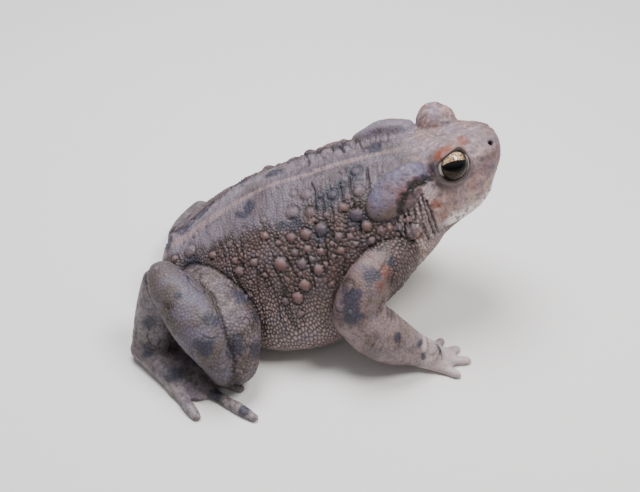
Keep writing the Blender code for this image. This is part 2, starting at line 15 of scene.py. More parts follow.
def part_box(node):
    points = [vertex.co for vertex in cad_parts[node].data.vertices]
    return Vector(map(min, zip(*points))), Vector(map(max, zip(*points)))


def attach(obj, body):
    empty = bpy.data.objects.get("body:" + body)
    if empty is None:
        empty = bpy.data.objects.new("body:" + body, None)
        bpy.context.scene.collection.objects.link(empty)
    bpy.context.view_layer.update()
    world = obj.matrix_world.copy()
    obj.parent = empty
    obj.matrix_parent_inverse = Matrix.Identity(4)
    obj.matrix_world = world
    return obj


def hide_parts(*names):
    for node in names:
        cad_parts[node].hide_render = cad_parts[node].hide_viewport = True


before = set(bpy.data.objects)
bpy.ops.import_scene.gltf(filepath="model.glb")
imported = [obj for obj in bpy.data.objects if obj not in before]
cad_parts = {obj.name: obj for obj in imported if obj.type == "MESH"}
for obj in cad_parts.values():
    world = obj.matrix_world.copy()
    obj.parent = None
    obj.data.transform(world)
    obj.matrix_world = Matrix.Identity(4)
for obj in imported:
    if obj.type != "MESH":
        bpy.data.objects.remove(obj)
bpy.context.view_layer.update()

# Camera
# The toad is seen from its right and from well above, as by someone who stoops to look at it.
# A plain lens with no shift; the solids' right eye carries the toad's own frame to the model's.
MM = 0.001
EYE_CENTRE = Vector((31.0, -9.0, 47.3))
CAMERA_PITCH = math.radians(42)
CAMERA_YAW = math.radians(6)
CAMERA_DISTANCE = 270
CAMERA_AIM = Vector((0, 0, 15))
CAMERA_LENS = 56.25

eye_low, eye_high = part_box("eye_right")
HOME = (eye_low + eye_high) / 2 - EYE_CENTRE * MM


def at_home(place):
    """A place of the toad's own frame, in metres where the model stands."""
    return HOME + Vector(place) * MM


def in_scene(name, data):
    """A new object of the scene with this data."""
    made = bpy.data.objects.new(name, data)
    bpy.context.scene.collection.objects.link(made)
    return made


def look_along(made, way):
    """Turns a camera or a lamp to look along a direction."""
    made.rotation_mode = "QUATERNION"
    made.rotation_quaternion = way.to_track_quat("-Z", "Y")


camera_data = bpy.data.cameras.new("camera")
camera_data.lens = CAMERA_LENS
camera_data.clip_start = 0.01
camera = in_scene("camera", camera_data)
bpy.context.scene.camera = camera
forward = Vector(
    (
        math.cos(CAMERA_PITCH) * math.sin(CAMERA_YAW),
        math.cos(CAMERA_PITCH) * math.cos(CAMERA_YAW),
        -math.sin(CAMERA_PITCH),
    )
)
camera.location = at_home(CAMERA_AIM - forward * CAMERA_DISTANCE)
look_along(camera, forward)

# Floor and light
# A plain pale floor under two broad soft lamps, both nearly overhead: one a little to the toad's left,
# and one ahead of it and to its right, which glints in its eye. The even pale surroundings do the
# rest, as on an overcast day.
FLOOR_SIZE = 3.0
FLOOR_COLOUR = (0.78, 0.77, 0.75)
FLOOR_ROUGHNESS = 0.8
SKY_COLOUR = (0.985, 0.975, 1.0, 1)
SKY_STRENGTH = 0.33
# Each lamp's name, place, width across in millimetres, power in watts and tint
LAMPS = [
    ("overhead", (-50, 110, 410), 230, 2.5, (0.97, 0.95, 1.0)),
    ("ahead", (190, -75, 430), 170, 1.9, (1.0, 0.97, 0.94)),
]
LAMPS_AIM = (0, 0, 20)


def plain_material(name, colour, roughness):
    """A Principled material with its values on the shader's own sockets."""
    made = bpy.data.materials.new(name)
    made.use_nodes = True
    shader = made.node_tree.nodes["Principled BSDF"]
    shader.inputs["Base Color"].default_value = (*colour, 1)
    shader.inputs["Roughness"].default_value = roughness
    return made


floor_mesh = bpy.data.meshes.new("floor")
half = FLOOR_SIZE / 2
floor_mesh.from_pydata(
    [(-half, -half, 0), (half, -half, 0), (half, half, 0), (-half, half, 0)], [], [(0, 1, 2, 3)]
)
floor = in_scene("floor", floor_mesh)
floor_mesh.materials.append(plain_material("pale_floor", FLOOR_COLOUR, FLOOR_ROUGHNESS))

world = bpy.data.worlds.new("pale_room")
world.use_nodes = True
world.node_tree.nodes["Background"].inputs["Color"].default_value = SKY_COLOUR
world.node_tree.nodes["Background"].inputs["Strength"].default_value = SKY_STRENGTH
bpy.context.scene.world = world
for name, place, size, power, tint in LAMPS:
    lamp_data = bpy.data.lights.new(name, "AREA")
    lamp_data.shape = "DISK"
    lamp_data.size = size * MM
    lamp_data.energy = power
    lamp_data.color = tint
    lamp = in_scene(name, lamp_data)
    lamp.location = at_home(place)
    look_along(lamp, at_home(LAMPS_AIM) - lamp.location)

# Body
# The toad's soft body under its skin: the trunk from rump to snout, the limbs out to the tips of the
# digits, the bulging lids and the parotoid glands. Each is a smooth closed loft through a few
# sections, and one fine voxel skin joins them all.

# A trunk row: how far forward, top, bottom, half width, widest level, squareness above and below
TRUNK = [
    (-42.5, 18.0, 6.5, 7.0, 12.0, 2.0, 2.2),
    (-39.0, 19.8, 3.0, 11.0, 11.5, 1.9, 2.3),
    (-34.0, 22.7, 0.0, 15.5, 11.0, 1.8, 2.5),
    (-28.0, 27.5, -0.6, 20.0, 10.5, 1.75, 2.7),
    (-22.0, 31.8, -0.8, 24.5, 10.5, 1.7, 2.9),
    (-16.0, 35.2, -0.8, 27.3, 10.8, 1.65, 3.0),
    (-10.0, 37.8, -0.8, 28.6, 11.0, 1.65, 3.1),
    (-4.0, 39.6, -0.8, 28.6, 11.6, 1.75, 3.1),
    (2.0, 41.6, -0.7, 27.3, 13.0, 1.9, 3.0),
    (8.0, 43.2, 0.4, 24.8, 15.5, 2.05, 2.7),
    (14.0, 44.6, 3.0, 21.6, 19.5, 2.2, 2.4),
    (19.0, 45.7, 6.5, 18.8, 24.5, 2.3, 2.2),
    (24.0, 46.8, 11.0, 17.0, 30.0, 2.4, 2.1),
    (28.0, 47.8, 16.5, 15.8, 33.0, 2.5, 2.2),
    (32.0, 48.6, 22.5, 14.4, 34.5, 2.6, 2.3),
    (36.0, 49.4, 27.0, 12.6, 35.5, 2.6, 2.4),
    (40.0, 50.0, 29.8, 10.5, 36.5, 2.5, 2.4),
    (43.5, 49.6, 31.8, 8.4, 37.5, 2.3, 2.3),
    (45.5, 48.4, 33.0, 6.8, 38.5, 2.2, 2.2),
    (47.3, 46.5, 34.5, 5.2, 39.5, 2.1, 2.1),
]
RUMP_ROUNDING = 4.5
SNOUT_ROUNDING = 4.0
# A limb row: the place of its middle, half width and half depth
UPPER_ARM = [
    (16.5, -15.5, 25.5, 7.4, 7.6),
    (12.7, -20.9, 24.6, 6.8, 7.4),
    (8.3, -25.8, 22.6, 5.8, 6.6),
    (5.6, -28.3, 19.0, 5.3, 5.9),
]
FOREARM = [
    (6.0, -28.7, 16.9, 5.7, 6.2),
    (10.2, -29.5, 12.6, 6.3, 7.1),
    (15.8, -30.5, 8.2, 5.8, 6.1),
    (21.0, -31.0, 5.2, 4.3, 4.4),
    (24.5, -31.2, 3.6, 3.8, 3.3),
]
RIGHT_LEG = {
    "thigh": [
        (-31.5, -8.0, 12.5, 7.6, 7.6),
        (-29.5, -17.0, 14.5, 8.3, 8.0),
        (-26.0, -26.5, 13.8, 8.3, 8.0),
        (-25.0, -33.0, 8.5, 6.2, 5.8),
    ],
    "shank": [
        (-26.5, -34.0, 8.0, 5.2, 5.0),
        (-29.5, -31.5, 13.5, 6.4, 5.8),
        (-34.0, -26.5, 18.5, 6.9, 6.2),
        (-38.5, -20.5, 22.0, 5.6, 5.2),
        (-41.0, -16.5, 22.5, 4.6, 4.4),
    ],
    "tarsus": [
        (-42.0, -16.0, 21.5, 4.2, 4.2),
        (-43.6, -17.5, 16.0, 4.9, 4.2),
        (-45.0, -19.3, 9.5, 5.3, 3.9),
        (-46.2, -21.3, 4.0, 5.1, 3.5),
    ],
}
LEFT_LEG = {
    "thigh": [
        (-31.5, 8.0, 11.8, 7.6, 7.4),
        (-26.0, 16.2, 10.6, 8.4, 7.3),
        (-19.0, 24.0, 10.2, 8.0, 7.2),
        (-14.5, 30.0, 8.0, 6.0, 5.6),
    ],
    "shank": [
        (-15.5, 31.0, 7.6, 5.2, 5.0),
        (-20.5, 27.0, 8.0, 6.2, 5.6),
        (-27.0, 21.4, 8.4, 6.4, 5.7),
        (-33.0, 16.6, 9.0, 5.4, 5.0),
        (-36.3, 14.2, 9.2, 4.6, 4.4),
    ],
    "tarsus": [
        (-37.5, 14.8, 8.6, 4.1, 4.1),
        (-37.4, 20.4, 6.2, 3.6, 3.5),
        (-35.3, 26.2, 4.6, 3.3, 3.2),
        (-32.3, 31.3, 3.8, 3.5, 3.3),
    ],
}
# The wrist or heel: how far forward and out, and the degrees that the paw points outward
HAND = (23.0, 31.3, 2)
RIGHT_FOOT = (-48.0, 21.5, 40)
LEFT_FOOT = (-32.5, 31.5, 17)
# A pad row: how far from the wrist, height, half width and half depth
HAND_PAD = [(-0.5, 2.8, 3.2, 2.6), (3.0, 2.0, 4.4, 1.9), (6.0, 1.6, 3.4, 1.4)]
# A digit: degrees that it turns inward, length from the wrist, radius
FINGERS = [(46, 10.5, 1.4), (19, 12.0, 1.4), (-3, 13.5, 1.4), (-31, 11.5, 1.35)]
FOOT_PAD = [(-0.5, 2.8, 3.2, 2.8), (5.5, 2.3, 4.4, 2.3), (12.0, 1.8, 5.6, 1.8), (18.0, 1.3, 5.2, 1.2)]
TOES = [(38, 17.5, 1.3), (23, 22.5, 1.35), (10, 29.0, 1.4), (-1, 37.0, 1.4), (-19, 26.5, 1.4)]
# A digit swells at its joints, is a little flattened, and the floor presses its underside flat
DIGIT_SWELL = (1.35, 1.1, 1.2, 0.95, 1.05, 0.8)
DIGIT_FLATNESS = 0.9
DIGIT_SUNK = 0.2
DIGIT_START = 0.25
LID_RADII = (5.4, 5.3, 4.95)
# The skin gathered at the right heel
HEEL_FOLD = Vector((-41.3, -18.6, 3.5))
HEEL_FOLD_RADII = (3.6, 3.4, 3.3)
# The parotoid gland's ends, half axes and the way that it faces
PAROTOID_FRONT = Vector((24.2, -8.2, 45.6))
PAROTOID_REAR = Vector((11.3, -15.4, 38.2))
PAROTOID_RADII = (9.4, 4.9, 2.6)
PAROTOID_OUT = Vector((0.0, -0.62, 0.78))
END_STEPS = (0.02, 0.1, 0.25, 0.5, 0.8, 1.2, 1.8, 2.5, 3.3, 4.2)
SKIN_VOXEL = 0.24
JOIN_BLENDS = 14

# Every loft's points and faces, and for each point the piece of the body that it is on
body_points = []
body_faces = []
body_pieces = []
PIECES = ["trunk", "gland", "lid", "upper_arm", "forearm", "hand", "thigh", "shank", "tarsus", "foot"]


def between(rows, at):
    """The row at one station, from a smooth curve through rows that start with their station."""
    at = min(max(at, rows[0][0]), rows[-1][0])
    i = max(k for k in range(len(rows) - 1) if rows[k][0] <= at)
    a, b = rows[i], rows[i + 1]
    before, after = rows[max(i - 1, 0)], rows[min(i + 2, len(rows) - 1)]
    span = b[0] - a[0]
    t = (at - a[0]) / span
    found = []
    for k in range(1, len(a)):
        leaving = (b[k] - before[k]) / (b[0] - before[0]) * span
        arriving = (after[k] - a[k]) / (after[0] - a[0]) * span
        found.append(
            (2 * t**3 - 3 * t**2 + 1) * a[k]
            + (t**3 - 2 * t**2 + t) * leaving
            + (3 * t**2 - 2 * t**3) * b[k]
            + (t**3 - t**2) * arriving
        )
    return found


def rounding(distance, cap):
    """How full a section is this far from the end of a body whose round end is that long."""
    share = min(max(distance / cap, 0.0), 1.0)
    return math.sqrt(1 - (1 - share) ** 2)


def trunk_section(x):
    """The trunk's rise, drop, half width, level and powers at a station, closing at both ends."""
    top, bottom, wide, level, above, below = between(TRUNK, x)
    full = rounding(x - TRUNK[0][0], RUMP_ROUNDING) * rounding(TRUNK[-1][0] - x, SNOUT_ROUNDING)
    return (top - level) * full, (level - bottom) * full, wide * full, level, above, below


def trunk_point(x, angle):
    """A point of the trunk, at an angle from the left side (0) over the back (90 degrees)."""
    rise, drop, wide, level, above, below = trunk_section(x)
    c, s = math.cos(angle), math.sin(angle)
    power = above if s > 0 else below
    across = math.copysign(abs(c) ** (2 / power), c)
    over = math.copysign(abs(s) ** (2 / power), s)
    return Vector((x, wide * across, level + over * (rise if s > 0 else drop)))


def add_loft(piece, rings):
    """Adds one closed loft through rings of points to the body."""
    sides = len(rings[0])
    first = len(body_points)
    for ring in rings:
        body_points.extend(ring)
    body_pieces.extend([PIECES.index(piece)] * (sides * len(rings)))
    for r in range(len(rings) - 1):
        low = first + r * sides
        for i in range(sides):
            j = (i + 1) % sides
            body_faces.append((low + i, low + j, low + sides + j, low + sides + i))
    body_faces.append(tuple(range(first, first + sides)))
    body_faces.append(tuple(range(len(body_points) - sides, len(body_points))))


def turns(sides):
    return [2 * math.pi * i / sides for i in range(sides)]


def limb_track(rows):
    """The rows of a limb piece, each with the distance travelled to it along the piece."""
    travelled = [0.0]
    for a, b in zip(rows, rows[1:]):
        travelled.append(travelled[-1] + (Vector(b[:3]) - Vector(a[:3])).length)
    return [(s, *row) for s, row in zip(travelled, rows)]


def limb_frame(track, s):
    """The centre of a limb piece there, the way it runs, and its level and upright half axes."""
    x, y, z, wide, deep = between(track, s)
    length = track[-1][0]
    ahead = Vector(between(track, min(s + 0.3, length))[:3])
    behind = Vector(between(track, max(s - 0.3, 0.0))[:3])
    along = (ahead - behind).normalized()
    level = along.cross(Vector((0, 0, 1))).normalized()
    return Vector((x, y, z)), along, level * wide, level.cross(along) * deep


def add_limb(piece, rows, sides=44, step=0.6):
    """Adds a limb piece along the smooth path through its rows, with a round cap at each end."""
    track = limb_track(rows)
    length = track[-1][0]
    cap = (0.985, 0.93, 0.82, 0.66, 0.45, 0.22)
    stations = [-rows[0][3] * share for share in cap]
    count = max(round(length / step), 2)
    stations += [length * i / count for i in range(count + 1)]
    stations += [length + rows[-1][3] * share for share in reversed(cap)]
    rings = []
    for s in stations:
        inside = min(max(s, 0.0), length)
        centre, along, level, up = limb_frame(track, inside)
        full = math.sqrt(1 - ((s - inside) / level.length) ** 2)
        centre += along * (s - inside)
        rings.append([centre + (level * math.cos(a) + up * math.sin(a)) * full for a in turns(sides)])
    add_loft(piece, rings)


def add_ellipsoid(piece, centre, axes, rows=28, sides=44):
    """Adds an ellipsoid with these three half axes as vectors."""
    rings = []
    for k in range(rows):
        polar = math.pi * (k + 0.25) / (rows - 0.5)
        ring = []
        for a in turns(sides):
            round_ = axes[0] * math.cos(a) + axes[1] * math.sin(a)
            ring.append(centre + round_ * math.sin(polar) + axes[2] * math.cos(polar))
        rings.append(ring)
    add_loft(piece, rings)


def upright_axes(radii):
    """The half axes of an upright ellipsoid, as vectors."""
    return [Vector(axis) for axis in np.diag(radii).tolist()]


def add_paw(piece, place, pad, digits, side):
    """Adds a hand or a foot: a low pad with its tapering digits."""
    x, y, bearing = place[0], place[1] * -side, math.radians(place[2])

    def row(turn, ahead, height, wide, deep):
        angle = bearing - math.radians(turn)
        return x + ahead * math.cos(angle), y - side * ahead * math.sin(angle), height, wide, deep

    add_limb(piece, [row(0, *sizes) for sizes in pad])
    for turn, reach, radius in digits:
        rows = []
        for i, swell in enumerate(DIGIT_SWELL):
            ahead = reach * (DIGIT_START + (1 - DIGIT_START) * i / (len(DIGIT_SWELL) - 1))
            ahead = min(ahead, reach - radius * DIGIT_SWELL[-1])
            wide, deep = radius * swell, radius * swell * DIGIT_FLATNESS
            rows.append(row(turn, ahead, deep - radius * DIGIT_SUNK, wide, deep))
        add_limb(piece, rows, 20, 0.5)


def on_side(place, side):
    """A place given on the right side, as it is there (1) or on the left side (-1)."""
    return type(place)((place[0], place[1] * side, *place[2:]))


first, last = TRUNK[0][0], TRUNK[-1][0]
stations = [first + d for d in END_STEPS]
stations += [float(x) for x in np.arange(first + 5.0, last - 4.6, 0.8)]
stations += [last - d for d in reversed(END_STEPS)]
add_loft("trunk", [[trunk_point(x, a) for a in turns(128)] for x in stations])
for side in (1, -1):
    leg = RIGHT_LEG if side == 1 else LEFT_LEG
    for piece, rows in leg.items():
        add_limb(piece, rows)
    add_limb("upper_arm", [on_side(row, side) for row in UPPER_ARM])
    add_limb("forearm", [on_side(row, side) for row in FOREARM])
    add_paw("hand", HAND, HAND_PAD, FINGERS, side)
    add_paw("foot", RIGHT_FOOT if side == 1 else LEFT_FOOT, FOOT_PAD, TOES, side)
    add_ellipsoid("lid", on_side(EYE_CENTRE, side), upright_axes(LID_RADII))
    if side == 1:
        add_ellipsoid("tarsus", HEEL_FOLD, upright_axes(HEEL_FOLD_RADII))
    front, rear = on_side(PAROTOID_FRONT, side), on_side(PAROTOID_REAR, side)
    along = (front - rear).normalized()
    out = on_side(PAROTOID_OUT, side)
    out = (out - along * out.dot(along)).normalized()
    gland_axes = [along * PAROTOID_RADII[0], out.cross(along) * PAROTOID_RADII[1], out * PAROTOID_RADII[2]]
    add_ellipsoid("gland", (front + rear) / 2, gland_axes)

body_mesh = bpy.data.meshes.new("body")
body_mesh.from_pydata(body_points, [], body_faces)
body = in_scene("body", body_mesh)
remesh = body.modifiers.new("one_skin", "REMESH")
remesh.mode = "VOXEL"
remesh.voxel_size = SKIN_VOXEL
graph = bpy.context.evaluated_depsgraph_get()
skin_mesh = bpy.data.meshes.new_from_object(body.evaluated_get(graph))
bpy.data.objects.remove(body, do_unlink=True)
skin_mesh.name = "skin"
count = len(skin_mesh.vertices)
edges = np.empty(len(skin_mesh.edges) * 2, np.int32)
skin_mesh.edges.foreach_get("vertices", edges)
edges = edges.reshape(-1, 2)
links = np.bincount(edges.ravel(), minlength=count)
points = np.empty(count * 3, np.float32)
skin_mesh.vertices.foreach_get("co", points)
points = points.reshape(-1, 3).astype(float)


def neighbour_mean(values):
    """For each point of the skin, the mean of a value over the points next to it."""
    a, b = edges[:, 0], edges[:, 1]
    total = np.bincount(a, values[b], count) + np.bincount(b, values[a], count)
    return total / links


def spread(values, times, share=0.5):
    """A value or place of each point of the skin, evened out with its neighbours' so many times."""
    for _ in range(times):
        if values.ndim == 1:
            values = values + share * (neighbour_mean(values) - values)
        else:
            means = np.stack([neighbour_mean(values[:, k]) for k in range(3)], 1)
            values = values + share * (means - values)
    return values


def normals_of(places):
    """The skin's normals with its points in these places."""
    skin_mesh.vertices.foreach_set("co", places.astype(np.float32).ravel())
    skin_mesh.update()
    found = np.empty(count * 3, np.float32)
    skin_mesh.vertex_normals.foreach_get("vector", found)
    return found.reshape(-1, 3).astype(float)


points = spread(points, JOIN_BLENDS)

# The piece of the body that each point of the skin lies over, and how much it is on each piece, from
# 0 to 1 and blended where they join
tree = kdtree.KDTree(len(body_points))
for i, place in enumerate(body_points):
    tree.insert(place, i)
tree.balance()
nearest = np.array([tree.find(p)[1] for p in points.tolist()])
piece_of = np.array(body_pieces)[nearest]
on = {name: spread((piece_of == k).astype(float), 12) for k, name in enumerate(PIECES)}


def step(values, low, high):
    """Rises smoothly from 0 at low to 1 at high, or falls if low is the greater."""
    t = np.clip((values - low) / (high - low), 0, 1)
    return t * t * (3 - 2 * t)


def bell(values, width):
    """1 where the values are 0, fading like a bell over this width to either side."""
    return np.exp(-((values / width) ** 2))


def noise_at(places, size, seed=0.0):
    """Smooth noise from about -1 to 1, with lumps about this many millimetres long each way."""
    stretched = places / np.asarray(size, float) + seed
    return np.array([noise.noise(p) for p in stretched.tolist()])


# The head and the elbows are smoothed further, and the left gland stands a little higher
ELBOW = (6.6, -29.0, 17.0)
SOFT_BLENDS = 60
LEFT_GLAND_LIFT = np.array((0.0, 0.8, 1.1))
soft = step(points[:, 0], 20, 25)
for side in (1, -1):
    from_elbow = np.linalg.norm(points - on_side(ELBOW, side), axis=1)
    soft = np.maximum(soft, step(from_elbow, 9.5, 6.0))
points += soft[:, None] * (spread(points, SOFT_BLENDS) - points)
x, y, z = points.T
left_gland = spread(((piece_of == PIECES.index("gland")) & (y > 0)).astype(float), 30)
points += (left_gland * step(x, 10, 17))[:, None] * LEFT_GLAND_LIFT
x, y, z = points.T

# How far round the trunk each point is, in degrees up from its widest line
grid = np.linspace(first + 0.1, last - 0.1, 400)
sections = np.array([trunk_section(x) for x in grid])
rise, drop, wide, level = [np.interp(x, grid, sections[:, k]) for k in range(4)]
height = np.where(z > level, (z - level) / rise, (z - level) / drop)
over = np.degrees(np.arctan2(height, np.abs(y) / wide))
trunk = on["trunk"]
head = step(x, 19, 24) * np.clip(trunk + on["lid"], 0, 1)

# Head
# The lids, lips, nostrils and eardrums are worked into the skin by pushing its points along their
# own outward way. The eye stands in a round opening of its lid that the brow cuts straight above, and
# the mouth is a closed groove.

EYE_RADIUS = 4.5
EYE_LOOKS = Vector((0.17, -0.88, 0.42)).normalized()
OPENING_HALF = math.radians(60)
BROW_CUT = 0.74
BROW_TURN = math.radians(118)
LID_EDGE = 4.95
UNDER_EYE = 4.0
CORNER_BLEND = 0.12
# The mouth's height at stations along the head
MOUTH_LINE = [(16.0, 29.8), (26.0, 31.4), (30.0, 32.2), (36.0, 33.1), (42.0, 34.6), (54.0, 37.5)]
MOUTH_CORNER_X = 26.0
MOUTH_DEPTH = 0.55
UPPER_LIP_HEIGHT = 0.42
LOWER_LIP_HEIGHT = 0.12
NOSTRIL = np.array((42.1, -4.1, 49.1))
EARDRUM = np.array((27.0, -15.2, 39.6))
EARDRUM_RADIUS = 1.7


def side_place(place, side):
    """A place given on the right side, there (1) or mirrored (-1), as an array."""
    return np.array((place[0], place[1] * side, place[2]), float)


def away_from(place):
    """How far each point of the skin is from a place."""
    return np.linalg.norm(points - np.asarray(place, float), axis=1)


lid_edge = np.zeros(count)
lower_lid = np.zeros(count)
nostril_hole = np.zeros(count)
for side in (1, -1):
    eye = side_place(EYE_CENTRE, side)
    looks = side_place(EYE_LOOKS, side)
    up = np.array((0, 0, 1.0)) - looks * looks[2]
    up /= np.linalg.norm(up)
    ahead = np.cross(up, looks) * side
    offset = points - eye
    reach = np.linalg.norm(offset, axis=1)
    near = reach < 9
    q = offset[near] / reach[near][:, None]
    off_axis = np.arccos(np.clip(q @ looks, -1, 1))
    turn = np.arctan2(q @ up, q @ ahead)
    brow = OPENING_HALF * BROW_CUT / np.maximum(np.cos(turn - BROW_TURN), 0.3)
    opening = np.exp(-OPENING_HALF / CORNER_BLEND) + np.exp(-brow / CORNER_BLEND)
    opening = -CORNER_BLEND * np.log(opening)
    outside = (off_axis - opening) * EYE_RADIUS
    below = step(-np.sin(turn), -0.25, 0.45)
    brow_near = step(np.cos(turn - BROW_TURN), 0.1, 0.8)
    rim_height = LID_EDGE + 0.15 * below + 0.3 * brow_near
    roll = 0.42 * below * bell(outside - 0.85, 0.45)
    roll -= 0.2 * below * bell(outside - 1.95, 0.4)
    over_rim = rim_height + (reach[near] - rim_height) * step(outside, 0.2, 3.2) + roll
    shaped = UNDER_EYE + (over_rim - UNDER_EYE) * step(outside, -0.2, 0.22)
    facing = step(outside, 6.0, 2.6)
    shaped = reach[near] + (shaped - reach[near]) * facing
    points[near] = eye + q * shaped[:, None]
    lid_edge[near] += bell(outside - 0.05, 0.24) * (off_axis < 1.6)
    lower_lid[near] += below * step(outside, 2.0, 1.4) * (outside > -0.3)

lid_edge = np.clip(lid_edge, 0, 1)
grown = np.zeros(count)
mouth_x, mouth_z = np.array(MOUTH_LINE).T
from_mouth = z - np.interp(x, mouth_x, mouth_z)
has_mouth = step(x, MOUTH_CORNER_X - 2.5, MOUTH_CORNER_X + 1.5) * trunk
grown -= MOUTH_DEPTH * has_mouth * bell(from_mouth, 0.24)
grown += UPPER_LIP_HEIGHT * has_mouth * bell(from_mouth - 1.2, 0.85)
grown += LOWER_LIP_HEIGHT * has_mouth * bell(from_mouth + 1.0, 0.7)
for side in (1, -1):
    away = away_from(side_place(NOSTRIL, side))
    nostril_hole += step(away, 0.95, 0.5)
    grown += 0.22 * bell(away - 1.15, 0.4) - 1.1 * bell(away, 0.55)
    away = away_from(side_place(EARDRUM, side))
    grown += 0.16 * bell(away - EARDRUM_RADIUS, 0.3) - 0.1 * step(away, 1.5, 1.0)
    ridge = np.abs(y + side * (9.6 - 0.33 * (x - 32)))
    grown += 0.35 * bell(ridge, 1.3) * step(x, 35, 38) * step(x, 44.5, 42) * step(z, 46, 48)
points += normals_of(points) * grown[:, None]

# Warts
# Toads carry round glandular warts in loose rows over the back and flanks. Those of the right side
# stand where this animal has them, the left side's stray from them a little, and small ones are
# strewn between. Each is a smooth dome in a shallow moat.

# A wart: how far forward, degrees up from the trunk's widest line, radius
TRUNK_WARTS = [
    (-34.5, 66, 1.6), (-28.6, 55, 1.1), (-22.2, 42, 1.2), (-18.4, 46, 1.1), (-15.3, 58, 1.1),
    (-11.8, 43, 1.7), (-8.3, 26, 1.3), (-8.8, 54, 1.2), (-8.2, 66, 1.5), (-6.3, 31, 1.3),
    (-6.6, 41, 1.3), (-5.2, 54, 1.35), (-4.2, 74, 1.5), (-3.6, 64, 1.3), (-2.7, 36, 1.35),
    (-1.4, 54, 1.6), (2.1, 70, 1.3), (2.7, 47, 1.1), (4.4, 61, 1.2), (7.4, 54, 1.7), (8.4, 67, 1.4),
    (8.5, 81, 1.3), (9.6, 45, 1.3), (13.2, 37, 1.1), (21.5, 15, 1.9),
]
# How far a wart of the left side strays at most: forward, in degrees and in share of its radius
WART_STRAY = (0.9, 2.5, 0.16)
WART_SEED = 7
SMALL_WARTS = [
    (-38.7, 61, 1.0), (-23.1, 49, 0.8), (-15.9, 39, 0.75), (-12.1, 53, 0.85), (-8.3, 47, 0.95),
    (-5.1, 47, 0.95), (-1.9, 44, 0.9), (-4.2, 42, 0.8), (-0.9, 37, 0.85), (1.1, 39, 0.7),
    (3.0, 40, 0.95), (0.2, 60, 0.95), (6.7, 39, 0.8), (5.8, 66, 1.0), (-7.4, 77, 1.0),
    (-7.8, 17, 0.9), (10.6, 35, 1.0), (15.1, 35, 1.1), (17.4, 30, 0.9), (19.7, 30, 0.9),
]
STREWN_WARTS = 80
WART_GAP = 1.15
WART_HEIGHT = 0.56
STREWN_HEIGHT = 0.4
MOAT_DEPTH = 0.13
LOW_ABOVE = 62
LOW_SHARE = 0.55

wart_places = []
draw = random.Random(WART_SEED)


def add_wart(x, degrees, radius):
    """A wart of the trunk. Those high on the back are low."""
    high = min(degrees, 180 - degrees) > LOW_ABOVE
    height = radius * WART_HEIGHT * (LOW_SHARE if high else 1)
    wart_places.append((trunk_point(x, math.radians(degrees)), radius, height))


for warts, times in ((TRUNK_WARTS, 1), (SMALL_WARTS, 2)):
    for along, degrees, radius in warts:
        add_wart(along, 180 - degrees, radius)
        strayed = [draw.uniform(-stray, stray) for stray in WART_STRAY]
        add_wart(along + times * strayed[0], degrees + times * strayed[1], radius * (1 + strayed[2]))
rough_skin = trunk * step(over, -5, 20) * step(x, 22, 18) + on["thigh"] * step(z, 5, 12)
rough_skin += 0.5 * on["shank"] * step(z, 5, 12)
rough_skin += 0.4 * on["upper_arm"] * step(z, 14, 20)
placed = 0
while placed < STREWN_WARTS:
    i = draw.randrange(count)
    radius = draw.uniform(0.5, 0.95)
    if draw.random() > rough_skin[i]:
        continue
    place = Vector(points[i])
    if all((place - other).length > WART_GAP * (radius + size) for other, size, _ in wart_places):
        wart_places.append((place, radius, STREWN_HEIGHT * radius))
        placed += 1

wart = np.zeros(count)
moat = np.zeros(count)
raised = np.zeros(count)
wart_warmth = np.full(count, 0.5)
uneven = 1 + 0.13 * noise_at(points, 1.7, 5.5) + 0.08 * noise_at(points, 0.7, 9.5)
for place, radius, height in wart_places:
    share = away_from(place) / radius * uneven
    raised = np.maximum(raised, height * np.clip(1 - share**2, 0, 1) ** 0.8)
    wart = np.maximum(wart, step(share, 1.1, 0.7))
    moat = np.maximum(moat, bell(share - 1.22, 0.26) * min(radius, 1.4))
    wart_warmth[share < 1.15] = draw.random()
points += normals_of(points) * (raised - MOAT_DEPTH * moat)[:, None]

# Granules and folds
# Between the warts the flanks are paved with granules about a millimetre across, in rows that run
# down and forward, and the back, head and limbs have finer and lower ones. Thin folds cross the
# shoulder and the neck behind the jaw, where the skin gathers, and a hollow lies behind the gland,
# coloured below with dark painted shade.
FLANK_GRANULE = 1.0
LOW_GRANULE = 0.82
LOW_BELOW = 22
FINE_GRANULE = 0.84
ROW_WAY = np.array((0.35, 0.0, -0.94))
ROW_STRETCH = 0.46
